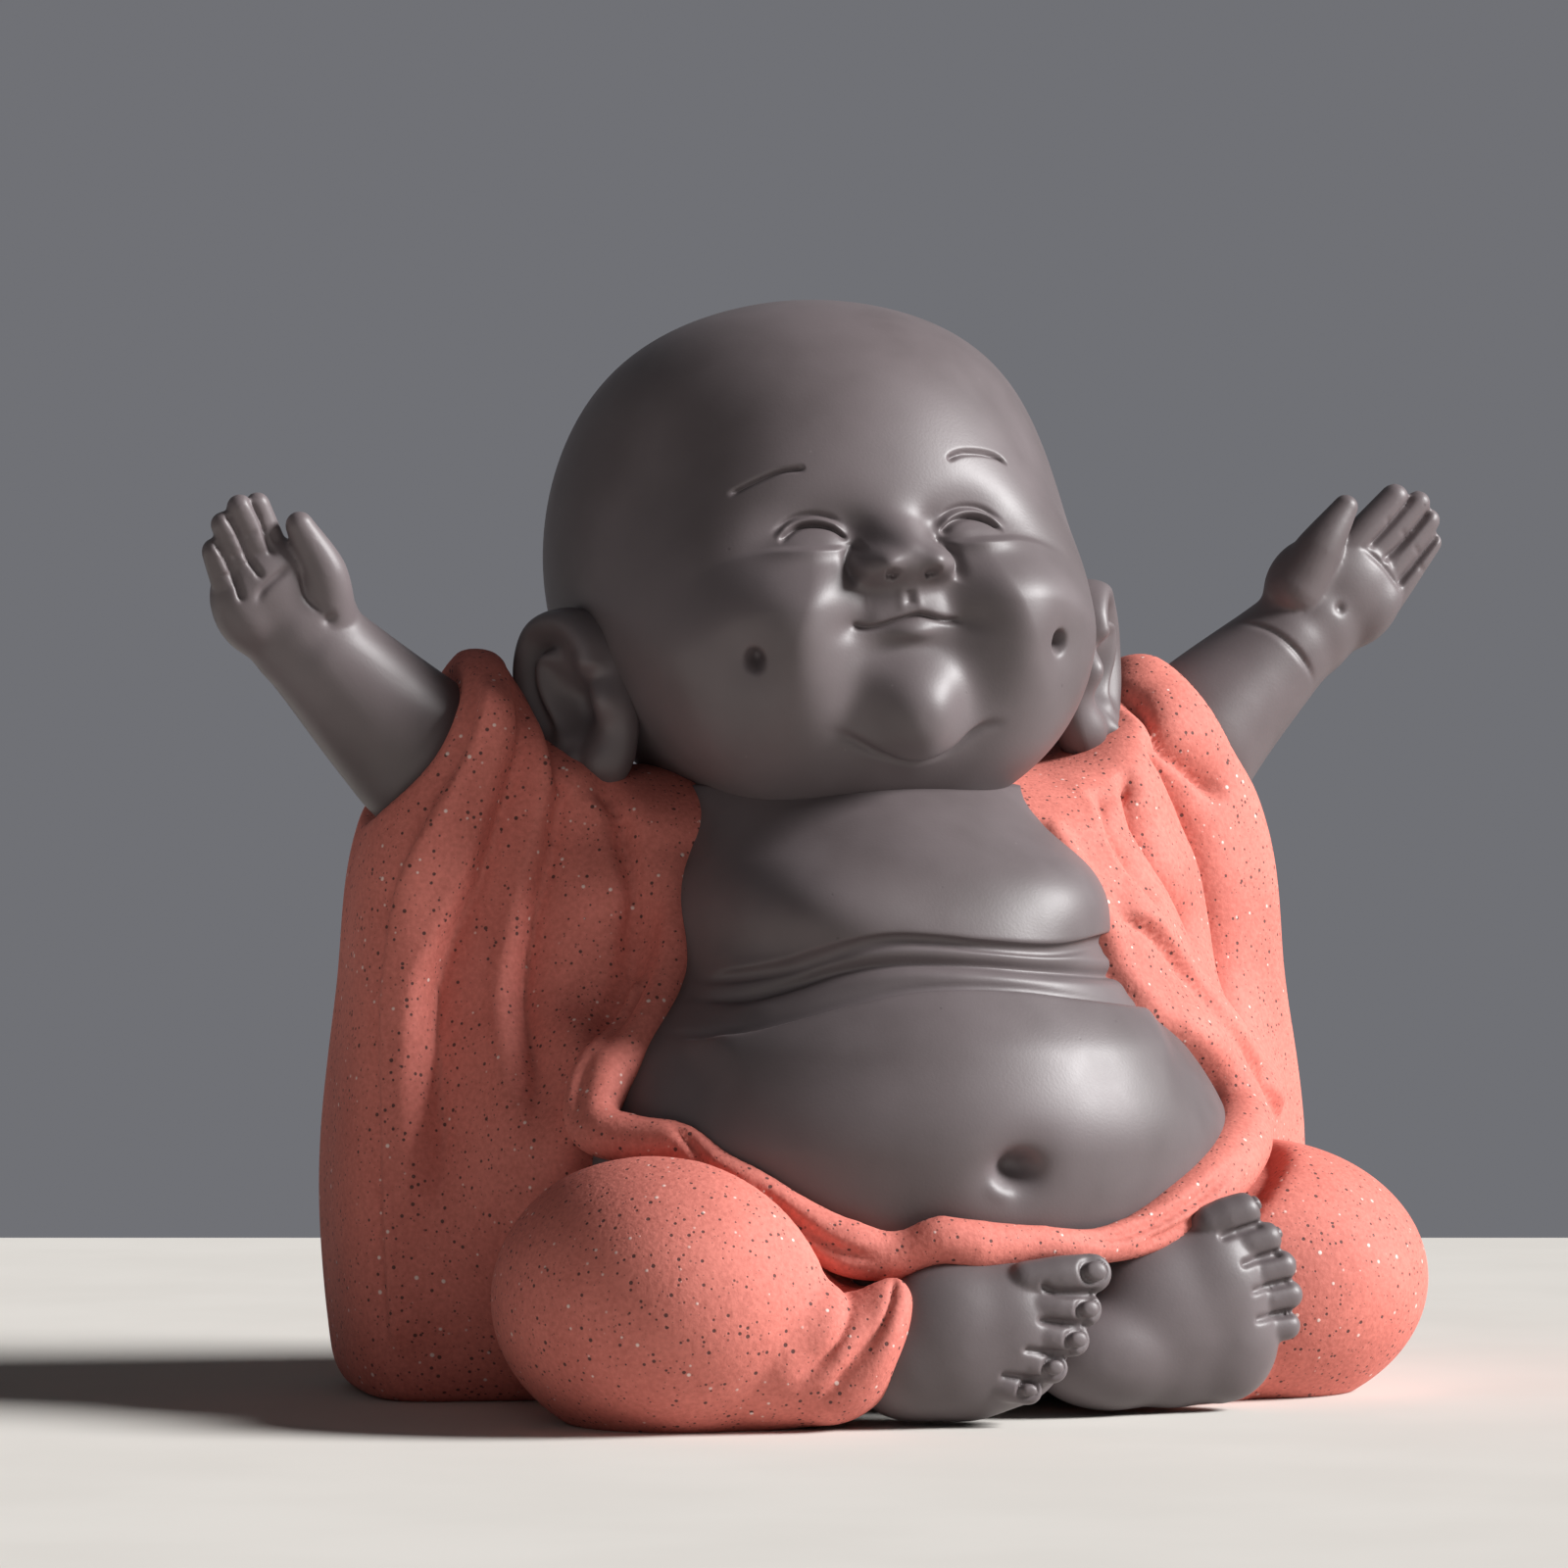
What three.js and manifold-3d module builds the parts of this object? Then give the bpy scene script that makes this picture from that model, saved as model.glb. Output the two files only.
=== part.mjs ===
import * as THREE from "three";
import { mergeVertices } from "three/addons/utils/BufferGeometryUtils.js";
import Module from "manifold-3d";

const wasm = await Module();
wasm.setup();

// Seated monk tea pet of fired clay. Lengths are in millimetres and angles in degrees. The figure
// faces -Y, its own left is +X, Y = 0 is the plane of its arms, and heights start at the ground
// unless a note says that they are from the top of the torso, where below it is negative.

// Joints and walls
const slipGap = 0.3; // luted joint between two pieces of clay
const chordGap = 0.45; // more room where a seat has coarser facets than the piece in it
const wall = 4.5; // clay wall of the hollow torso and head

// Torso: fronts and backs are distances from the plane of the arms
const torsoHeight = 58;
const baseHalfWidth = 26;
const baseFront = 33;
const torsoBack = 15;
const bellyHeight = 24;
const bellyHalfWidth = 33.6;
const bellyFront = 50.5;
const bellyLedge = 1.3; // step of the belly's upper edge under the lowest crease
const chestHeight = -8; // from the top of the torso
const chestHalfWidth = 19.6;
const chestFront = 38;
const chestLedge = 1.4; // step of the chest's lower edge over the highest crease
const neckHalfWidth = 17;
const neckFront = 27;
const foldHeight = -16.6; // middle one of three creases, at the front, from the top of the torso
const foldSpacing = 2.1;
const foldDepth = 0.8;
const foldDroop = 3; // the creases hang lower at the sides
const breastSpread = 12.5;
const breastBulge = 1.6;
const navelRadius = 2.2;

// Closing slab under the hollow torso
const slabRadius = 17;
const slabThickness = 4;
const slabForward = 10;
const ventRadius = 4;
const slabLedge = 3;

// Head, in its own frame before it is tilted
const headHalfWidth = 25.6;
const headHalfDepth = 26;
const headHalfHeight = 25.4;
const headSink = 4; // how deep the head sits in the torso
const headForward = 3;
const headAside = 1.4; // shift towards the figure's right
const headTilt = 14;
const headTurn = 3.8;
const headLean = 3.5;
const plugRadius = 9;
const plugLength = 8;
const drainRadius = 3.5;

// Face: spreads are from the middle line, drops are below the middle of the head and rises above it,
// and widths are how far a form reaches over the skull
const cheekSpread = 15.3;
const cheekDrop = 11.3;
const cheekWidth = 11;
const cheekBulge = 4.2;
const appleSpread = 9.5; // front of the cheek, beside the nose
const appleDrop = 8.8;
const appleWidth = 4.6;
const appleBulge = 2.4;
const jowlSpread = 9.7;
const jowlDrop = 18.4;
const jowlWidth = 10;
const jowlBulge = 4.8;
const throatDrop = 23.2;
const throatBulge = 4;
const rollSpread = 6.8; // soft roll between the mouth's corner and the chin
const rollDrop = 14.2;
const rollWidth = 3.2;
const rollBulge = 1.3;
const templeSpread = 20.2;
const templeRise = 3.9;
const templeHollow = 1.3;
const crownSpread = 17.7;
const crownRise = 17;
const crownBulge = 1.1;
const chinDrop = 16.2;
const chinWidth = 3.9;
const chinBulge = 2.9;
const noseDrop = 6.5;
const noseWidth = 2.6;
const noseRise = 3.6;
const nostrilSpread = 2.9;
const nostrilRise = 2.3;
const eyeSpread = 7.5;
const eyeDrop = 3.5;
const eyeWidth = 4.2;
const eyeSocketDepth = 1.6;
const eyelidRise = 1.5;
const browRise = 3.5;
const mouthDrop = 11.5;
const mouthHalfWidth = 5.6;
const lipRise = 1.3;

// Ears
const earHeight = 17.5;
const earDepth = 11;
const earThickness = 6;
const earDrop = 13;
const earFlare = 30; // turn of the ear's cup towards the front
const earStandOut = 2.2;
const earForward = 3;
const earLean = 10;

// Arms and hands: their heights are from the top of the torso
const armRoot = 19;
const armRootHeight = -8;
const armForward = 1.5;
const elbowReach = 31;
const elbowHeight = -5;
const mouthReach = 42.2;
const mouthHeight = 4.8;
const wristReach = 50.6;
const wristHeight = 12.6;
const armRootRadius = 6;
const elbowRadius = 7.4;
const mouthRadius = 7.3;
const wristRadius = 5.5;
const leftHandLean = 42;
const rightHandLean = 38;
const leftHandTilt = 4; // lean of the hand towards the front
const rightHandTilt = 16;
const palmLength = 12;
const palmWidth = 13;
const palmThickness = 6.8;
const fingerLength = 7.8;
const fingerRadius = 1.55;
const fingerSpacing = 2.6;
const thumbLength = 9;
const thumbRadius = 2.1;

// Robe: the heights of its upper parts are from the top of the torso
const robeHalfWidth = 50.5;
const collarHeight = 2;
const shoulderReach = 37.5;
const shoulderHeight = 13;
const shoulderRound = 8;
const lipReach = 47; // lower lip of the sleeve's mouth
const lipHeight = -3;
const rightLapelAngle = 79; // where the robe's edge lies on the chest, from the front
const leftLapelAngle = 52;
const bellyLapelAngle = 75; // and on the belly, on both sides
const lapelRoll = 1.6; // how far the edge stands off the torso
const lapelTop = -6;
const sleeveFront = 12.5;
const robeBack = 24;
const sleeveBack = 14;
const robeBackLean = 7;
const backTaper = 3;
const hemRound = 4;
const sideRound = 6.9;
const seamReach = 13;
const drapeCount = 4.2; // folds that fan out over each sleeve
const drapePhase = 0.21;
const drapeDepth = 1.2;

// Trouser legs: forward distances of knees and ankles are from the belly's front, behind it negative
const rightKneeReach = 28.6;
const rightKneeForward = -13.5;
const leftKneeReach = 34;
const leftKneeForward = -23.5;
const kneeHeight = 11;
const kneeHalfWidth = 17;
const kneeHalfDepth = 17.2;
const kneeHalfHeight = 13.6;
const calfRadius = 11.7;
const calfBow = 2; // how far the calf swings forward of a straight line
const ankleRadius = 7.1;

// Feet
const rightAnkleReach = 18.4;
const rightAnkleForward = -2.5;
const leftAnkleReach = 14;
const leftAnkleForward = -11;
const ankleHeight = 7.3;
const rightHeelAhead = 3.4; // how far the heel lies inwards and forwards of the ankle
const rightHeelForward = 2.5;
const leftHeelAhead = 8;
const leftHeelForward = 5;
const leftHeelDrop = 2.7;
const footLength = 23.5;
const footWidth = 15.5;
const footThickness = 10.5;
const anklePlugRadius = 4.6;
const toeRadius = 2.1;
// Distance along the foot, width and thickness, as shares of the foot's own sizes
const footStations = [
  [0, 0.35, 0.4],
  [0.07, 0.7, 0.75],
  [0.22, 0.88, 1],
  [0.45, 0.92, 0.95],
  [0.65, 1, 0.72],
  [0.78, 0.97, 0.5],
  [0.85, 0.7, 0.25],
];

// Hem of the robe across the lap
const hemHeight = 15.6;
const hemRise = 15;
const hemRadius = 2.4;
const hemEndRadius = 3.4; // where the hem turns up at the sides
const edgeEndRadius = 1.5;
const hemSweep = 70;
const flapOut = 3; // how far the turned corners of the robe stand off the belly
const hemSag = 2.6; // exponent of the hem's curve: the greater, the flatter across the lap

const left = 1;
const right = -1;
const { degToRad, lerp, clamp, smoothstep } = THREE.MathUtils;
const up = new THREE.Vector3(0, 0, 1);
const noTurn = new THREE.Quaternion();

// Only the surface of a geometry, with shared vertices merged and faces pointing out.
function surface(geometry) {
  geometry.deleteAttribute("normal");
  geometry.deleteAttribute("uv");
  const merged = mergeVertices(geometry, 1e-4);
  const index = merged.index.array;
  if (new wasm.Manifold(meshOf(merged)).volume() < 0) {
    merged.setIndex(Array.from(index).reverse());
  }
  return merged;
}

function meshOf(geometry) {
  return new wasm.Mesh({
    numProp: 3,
    vertProperties: geometry.attributes.position.array,
    triVerts: new Uint32Array(geometry.index.array),
  });
}

// The surface moved out along its normals.
function grown(geometry, distance) {
  const copy = geometry.clone();
  copy.computeVertexNormals();
  const { position, normal } = copy.attributes;
  for (let i = 0; i < position.count; i++) {
    const point = new THREE.Vector3().fromBufferAttribute(position, i);
    point.addScaledVector(new THREE.Vector3().fromBufferAttribute(normal, i), distance);
    position.setXYZ(i, point.x, point.y, point.z);
  }
  return copy;
}

// One solid of several forms, each grown by a clearance where the solid is to cut a seat.
function fuse(forms, clearance = 0) {
  const solids = forms.map((form) => new wasm.Manifold(meshOf(grown(form, clearance))));
  return solids.reduce((whole, solid) => whole.add(solid));
}

// A piece without the seats of its neighbours; crumbs that a cut leaves behind are dropped.
function cut(piece, ...seats) {
  const rest = seats.reduce((whole, seat) => whole.subtract(seat), piece);
  const bodies = rest.decompose();
  return bodies.reduce((most, body) => (body.volume() > most.volume() ? body : most));
}

// A smooth curve through pairs of place and value.
function curveThrough(pairs) {
  const places = pairs.map((pair) => pair[0]);
  const values = pairs.map((pair) => pair[1]);
  const curve = new THREE.CubicInterpolant(places, values, 1);
  return (place) => curve.evaluate(clamp(place, places[0], places.at(-1)))[0];
}

// Evenly spaced numbers from one value to another, both included.
function span(from, to, steps) {
  return Array.from({ length: steps + 1 }, (_, i) => lerp(from, to, i / steps));
}

// A closed form through rings of points. Its ends are capped to their middles or, where a ring is long
// and narrow and folded, straight across from one half of the ring to the other.
function loft(rings, folded = false) {
  const count = rings[0].length;
  const points = rings.flat();
  const ends = [rings[0], rings.at(-1)].map((ring) =>
    ring.reduce((sum, point) => sum.add(point), new THREE.Vector3()).divideScalar(count),
  );
  const [start, finish] = [points.length, points.length + 1];
  const last = points.length - count;
  const index = [];
  for (let i = 0; i < count; i++) {
    const next = (i + 1) % count;
    for (let row = 0; row < last; row += count) {
      index.push(row + i, row + next, row + count + next);
      index.push(row + i, row + count + next, row + count + i);
    }
    if (!folded) {
      index.push(start, next, i, finish, last + i, last + next);
    }
  }
  const across = (a, b, c) => index.push(a, c, b, last + a, last + b, last + c);
  for (let i = 0, j = count - 1; folded && i + 1 < j; i++, j--) {
    across(i, i + 1, j);
    if (i + 1 < j - 1) {
      across(i + 1, j - 1, j);
    }
  }
  const geometry = new THREE.BufferGeometry().setFromPoints(folded ? points : [...points, ...ends]);
  return surface(geometry.setIndex(index));
}

// An ellipsoid of given half sizes, turned by a quaternion.
function blob(centre, halfSizes, turn, columns, rows) {
  const place = new THREE.Matrix4().compose(centre, turn, halfSizes);
  return surface(new THREE.SphereGeometry(1, columns, rows).applyMatrix4(place));
}

// A round bar through points with a radius at each, domed at both ends.
function limb(points, radii, sides, steps) {
  const path = new THREE.CatmullRomCurve3(points);
  const frames = path.computeFrenetFrames(steps);
  const radiusAt = curveThrough(radii.map((radius, i) => [i / (radii.length - 1), radius]));
  const rings = [];
  const ring = (step, radius, shift) => {
    const centre = path.getPoint(step / steps).addScaledVector(frames.tangents[step], shift);
    return span(0, 2 * Math.PI, sides)
      .slice(0, -1)
      .map((angle) =>
        centre
          .clone()
          .addScaledVector(frames.normals[step], radius * Math.cos(angle))
          .addScaledVector(frames.binormals[step], radius * Math.sin(angle)),
      );
  };
  const dome = [75, 45].map(degToRad);
  dome.forEach((a) => rings.push(ring(0, radii[0] * Math.cos(a), -0.5 * radii[0] * Math.sin(a))));
  for (let step = 0; step <= steps; step++) {
    rings.push(ring(step, radiusAt(step / steps), 0));
  }
  const tip = radii.at(-1);
  dome.toReversed().forEach((a) => rings.push(ring(steps, tip * Math.cos(a), 0.5 * tip * Math.sin(a))));
  return loft(rings);
}

// The turn that takes +Z to a direction and +Y as near as it can to a second one.
function turnTo(along, facing) {
  const side = new THREE.Vector3().crossVectors(facing, along).normalize();
  const front = new THREE.Vector3().crossVectors(along, side).normalize();
  const basis = new THREE.Matrix4().makeBasis(side, front, along.clone().normalize());
  return new THREE.Quaternion().setFromRotationMatrix(basis);
}

const vector = (x, y, z) => new THREE.Vector3(x, y, z);
const box = (size, centre) => surface(new THREE.BoxGeometry(...size).translate(...centre));
const reach = 4 * robeHalfWidth; // larger than the whole figure
const aboveGround = fuse([box([reach, reach, reach], [0, 0, reach / 2])]);

// Torso
const fromTop = (height) => torsoHeight + height;
const creases = [-1, 0, 1].map((i) => fromTop(foldHeight) + i * foldSpacing);
const lapHeight = bellyHeight * 0.4;
const ribHeight = creases[0] - 3 * foldSpacing;
const torsoShape = {
  halfWidth: curveThrough([
    [0, baseHalfWidth],
    [lapHeight, lerp(baseHalfWidth, bellyHalfWidth, 0.72)],
    [bellyHeight, bellyHalfWidth],
    [ribHeight, lerp(bellyHalfWidth, chestHalfWidth, 0.31)],
    [creases[0], lerp(bellyHalfWidth, chestHalfWidth, 0.74)],
    [fromTop(chestHeight), chestHalfWidth],
    [torsoHeight, neckHalfWidth],
  ]),
  front: curveThrough([
    [0, baseFront],
    [lapHeight, lerp(baseFront, bellyFront, 0.68)],
    [bellyHeight, bellyFront],
    [ribHeight, lerp(bellyFront, chestFront, 0.18)],
    [creases[0], lerp(bellyFront, chestFront, 0.64)],
    [fromTop(chestHeight), chestFront],
    [torsoHeight, neckFront],
  ]),
  back: curveThrough([
    [0, torsoBack],
    [bellyHeight, torsoBack],
    [fromTop(chestHeight), torsoBack * 0.7],
    [torsoHeight, torsoBack * 0.4],
  ]),
};

// A point of the torso's skin, offset outwards; the angle is zero at the front.
function torsoPoint(angle, height, offset = 0) {
  const front = torsoShape.front(height) + offset;
  const back = torsoShape.back(height) + offset;
  const halfWidth = torsoShape.halfWidth(height) + offset;
  const middle = (back - front) / 2;
  return vector(halfWidth * Math.sin(angle), middle - ((front + back) / 2) * Math.cos(angle), height);
}

// Swell of the chest, breasts and belly over the waist at a point of the torso.
function torsoSwell(angle, height) {
  const over = height - creases[2];
  const under = creases[0] - height;
  const edge = (depth) => smoothstep(depth, -0.1 * foldSpacing, 0.3 * foldSpacing);
  const chest = chestLedge * edge(over) * Math.exp(-((over / (2 * foldSpacing)) ** 2));
  const belly = bellyLedge * edge(under) * Math.exp(-((under / (3 * foldSpacing)) ** 2));
  const aside = Math.abs(chestFront * Math.sin(angle)) - breastSpread;
  const rise = height - lerp(creases[2], fromTop(chestHeight), 0.6);
  const breast = Math.exp(-((aside / (0.7 * breastSpread)) ** 2) - (rise / (2.2 * foldSpacing)) ** 2);
  return chest + belly + breastBulge * breast;
}

function torsoRings(heights, columns, swell, dents, inset) {
  const angles = span(-1, 1, columns)
    .slice(0, -1)
    .map((share) => Math.PI * (swell ? 0.62 * share + 0.38 * share ** 3 : share));
  const dent = (height, c) => Math.exp(-(((height - c) / (0.3 * foldSpacing)) ** 2));
  return heights.map((height) =>
    angles.map((angle) => {
      const frontness = clamp(1.3 * Math.cos(angle) + 0.2, 0, 1);
      const crease = creases.reduce((sum, c) => sum + dent(height, c), 0);
      const relief = swell * torsoSwell(angle, height) - dents * foldDepth * crease;
      const point = torsoPoint(angle, height, frontness * relief - inset);
      const nearness = Math.exp(-(((height - creases[1]) / (4 * foldSpacing)) ** 2));
      point.z -= swell * foldDroop * (1 - Math.cos(angle)) * 0.7 * nearness;
      return point;
    }),
  );
}

const torsoColumns = 24;
const lowRows = span(0, creases[0] - 0.4 * foldSpacing, 7);
const highRows = span(creases[2] + 0.8 * foldSpacing, torsoHeight, 5);
const torsoHeights = [
  ...lowRows,
  ...creases.flatMap((c) => [c - 0.15 * foldSpacing, c + 0.15 * foldSpacing, c + 0.5 * foldSpacing]),
  ...highRows,
];
const torsoForm = loft(torsoRings(torsoHeights, torsoColumns, 1, 1, 0));
const cavityTop = torsoHeight - headSink - plugLength - wall;
const cavityForm = loft(torsoRings(span(slabThickness + wall, cavityTop, 4), 16, 0, 0, wall));
const navelForm = blob(
  torsoPoint(0, bellyHeight),
  vector(navelRadius, navelRadius, 0.75 * navelRadius),
  noTurn,
  10,
  6,
);

// Closing slab
function slabForm(radius, from, to) {
  const disc = new THREE.CylinderGeometry(radius, radius, to - from, 24).rotateX(Math.PI / 2);
  return surface(disc.translate(0, -slabForward, (from + to) / 2));
}
const slabSeat = slabForm(slabRadius + slipGap, -wall, slabThickness + slipGap);
const ventForm = slabForm(ventRadius, -wall, 2 * slabThickness);

// Head
const headCentre = vector(-headAside, -headForward, torsoHeight - headSink + headHalfHeight);
const headTurnAll = new THREE.Quaternion().setFromEuler(
  new THREE.Euler(degToRad(-headTilt), degToRad(-headLean), degToRad(-headTurn), "ZYX"),
);
const headPlace = new THREE.Matrix4().compose(headCentre, headTurnAll, vector(1, 1, 1));
const headHalf = vector(headHalfWidth, headHalfDepth, headHalfHeight);

// The point of the plain skull that lies ahead of a spread and a drop on the face.
function facePoint(spread, drop) {
  const flat = (spread / headHalfWidth) ** 2 + (drop / headHalfHeight) ** 2;
  return vector(spread, -headHalfDepth * Math.sqrt(Math.max(0, 1 - flat)), -drop);
}

// Each feature swells or sinks the skull round a point, over a reach.
const feature = (spread, drop, width, rise) => ({ at: facePoint(spread, drop), width, rise });
const pair = (spread, drop, width, rise) => [
  feature(spread, drop, width, rise),
  feature(-spread, drop, width, rise),
];
const features = [
  ...pair(cheekSpread, cheekDrop, cheekWidth, cheekBulge),
  ...pair(appleSpread, appleDrop, appleWidth, appleBulge),
  ...pair(jowlSpread, jowlDrop, jowlWidth, jowlBulge),
  feature(0, throatDrop, jowlWidth, throatBulge),
  ...pair(rollSpread, rollDrop, rollWidth, rollBulge),
  ...pair(templeSpread, -templeRise, cheekWidth, -templeHollow),
  ...pair(crownSpread, -crownRise, cheekWidth, crownBulge),
  feature(0, chinDrop, chinWidth, chinBulge),
  feature(0, noseDrop, noseWidth, noseRise),
  feature(0, eyeDrop, noseWidth, 0.2 * noseRise),
  ...pair(nostrilSpread, noseDrop + 0.1 * noseWidth, 0.65 * noseWidth, nostrilRise),
  ...pair(eyeSpread, eyeDrop, eyeWidth, -eyeSocketDepth),
  ...pair(eyeSpread, eyeDrop + 0.25 * eyeWidth, 0.55 * eyeWidth, eyelidRise),
  ...pair(eyeSpread, -browRise, eyeWidth, 0.2 * eyelidRise),
  feature(0, mouthDrop - lipRise, 0.7 * mouthHalfWidth, lipRise),
  ...pair(mouthHalfWidth, mouthDrop, 0.3 * mouthHalfWidth, -lipRise),
  feature(0, mouthDrop + 2 * lipRise, 0.4 * mouthHalfWidth, -0.6 * lipRise),
];

// The skull, with its facets crowded towards the face.
function skullForm(detail, crowding) {
  const form = surface(new THREE.IcosahedronGeometry(1, detail));
  const face = vector(0, -1, -0.35).normalize().multiplyScalar(crowding);
  const position = form.attributes.position;
  for (let i = 0; i < position.count; i++) {
    const way = new THREE.Vector3().fromBufferAttribute(position, i).add(face).normalize();
    const point = way.clone().multiply(headHalf);
    const near = (f) => Math.exp(-((point.distanceTo(f.at) / f.width) ** 2));
    const rise = features.reduce((sum, f) => sum + f.rise * near(f), 0);
    point.addScaledVector(way, rise);
    position.setXYZ(i, point.x, point.y, point.z);
  }
  return form.applyMatrix4(headPlace);
}

// A bore or plug on the line of the neck, between two heights.
function neckForm(radius, from, to) {
  const bar = new THREE.CylinderGeometry(radius, radius, to - from, 14).rotateX(Math.PI / 2);
  return surface(bar.translate(-headAside, -headForward - wall, (from + to) / 2));
}
const plugBottom = torsoHeight - headSink - plugLength;
const plugForm = neckForm(plugRadius, plugBottom, headCentre.z);
const headForms = [skullForm(11, 0.62), plugForm];
const skullCavity = blob(headCentre, headHalf.clone().subScalar(wall), headTurnAll, 14, 8);
const drainForm = neckForm(drainRadius, cavityTop - wall, headCentre.z);

// Ears
function earForm(side) {
  const drop = earDrop / headHalfHeight;
  const out = headHalfWidth * Math.sqrt(1 - drop * drop) + cheekBulge / 2 + earStandOut;
  const turn = new THREE.Quaternion().setFromAxisAngle(up, degToRad(-side * earFlare));
  const lean = new THREE.Quaternion().setFromAxisAngle(vector(0, 1, 0), degToRad(side * earLean));
  const half = vector(earThickness / 2, earDepth / 2, earHeight / 2);
  const centre = vector(side * out, -earForward, -earDrop);
  return blob(centre, half, lean.multiply(turn), 14, 8).applyMatrix4(headPlace);
}
function earCup(side) {
  const out = vector(side * earThickness * 0.55, -earThickness * 0.35, earHeight * 0.04);
  const cup = earForm(side);
  cup.computeBoundingBox();
  const middle = cup.boundingBox.getCenter(new THREE.Vector3());
  cup.translate(-middle.x, -middle.y, -middle.z).scale(0.66, 0.66, 0.66);
  return cup.translate(middle.x + out.x, middle.y + out.y, middle.z + out.z);
}

// Arms and hands
function armForms(side) {
  const forward = -armForward;
  const bar = limb(
    [
      vector(side * armRoot, forward - 2, fromTop(armRootHeight)),
      vector(side * elbowReach, forward, fromTop(elbowHeight)),
      vector(side * mouthReach, forward, fromTop(mouthHeight)),
      vector(side * wristReach, forward, fromTop(wristHeight)),
    ],
    [armRootRadius, elbowRadius, mouthRadius, wristRadius],
    12,
    7,
  );
  return [bar, ...handForms(side)];
}

function handForms(side) {
  const lean = degToRad(side === left ? leftHandLean : rightHandLean);
  const tilt = Math.sin(degToRad(side === left ? leftHandTilt : rightHandTilt));
  const along = vector(side * Math.sin(lean), 0, Math.cos(lean)).multiplyScalar(Math.sqrt(1 - tilt * tilt));
  const turn = turnTo(along.add(vector(0, -tilt, 0)), vector(0, 1, 0));
  const wrist = vector(side * wristReach, -armForward, fromTop(wristHeight));
  const place = (across, front, far) => vector(side * across, front, far).applyQuaternion(turn).add(wrist);
  const half = vector(palmWidth / 2, palmThickness / 2, 0.64 * palmLength);
  const palm = blob(place(0.4, 0, 0.5 * palmLength), half, turn, 12, 8);
  const fingers = [-1, 0, 1, 2].map((i) => {
    const length = fingerLength * (1 - 0.05 * i * i - (i < 0 ? 0.06 : 0));
    const root = place(i * fingerSpacing * 0.95 - 0.2, 0, 0.7 * palmLength);
    const tip = place(i * fingerSpacing * 1.05 - 0.8, -0.8, palmLength + length);
    return fingerForm(root, tip, fingerRadius);
  });
  const thumbRoot = place(-0.28 * palmWidth, -0.8, 0.25 * palmLength);
  const thumbTip = place(-0.5 * palmWidth, -2, 0.5 * palmLength + thumbLength);
  return [palm, ...fingers, fingerForm(thumbRoot, thumbTip, thumbRadius)];
}

// A digit with round ends, from inside its root to its tip.
function fingerForm(root, tip, radius) {
  const along = tip.clone().sub(root);
  const half = vector(radius, radius, along.length() / 2);
  const form = surface(new THREE.SphereGeometry(1, 7, 6).rotateX(Math.PI / 2));
  const position = form.attributes.position;
  for (let i = 0; i < position.count; i++) {
    const z = position.getZ(i);
    const swell = z > -0.99 && z < 0.99 ? Math.sqrt(1 - z ** 6) / Math.sqrt(1 - z * z) : 1;
    position.setXYZ(i, position.getX(i) * swell, position.getY(i) * swell, z);
  }
  const middle = root.clone().add(tip).divideScalar(2);
  const turn = turnTo(along, vector(0, 1, 0.01));
  return form.applyMatrix4(new THREE.Matrix4().compose(middle, turn, half));
}

// Robe: each column runs from the front hem over the shoulder to the back hem. Its share is 0 at the
// middle of the back, 1 along the edge on the torso and 2 down the sleeve's mouth and outer side.
const shoulderTop = fromTop(shoulderHeight);
const lipTop = fromTop(lipHeight);
function lapelAt(z, side, offset) {
  const onChest = side === left ? leftLapelAngle : rightLapelAngle;
  const angle = lerp(bellyLapelAngle, onChest, smoothstep(z, bellyHeight, creases[1]));
  return torsoPoint(side * degToRad(angle), Math.min(z, fromTop(0.5 * chestHeight)), offset);
}
const robeSide = curveThrough([
  [0, robeHalfWidth - 0.4 * hemRound],
  [0.35 * lipTop, robeHalfWidth],
  [0.7 * lipTop, lerp(robeHalfWidth, lipReach, 0.35)],
  [lipTop, lipReach],
  [shoulderTop, shoulderReach],
]);

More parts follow.
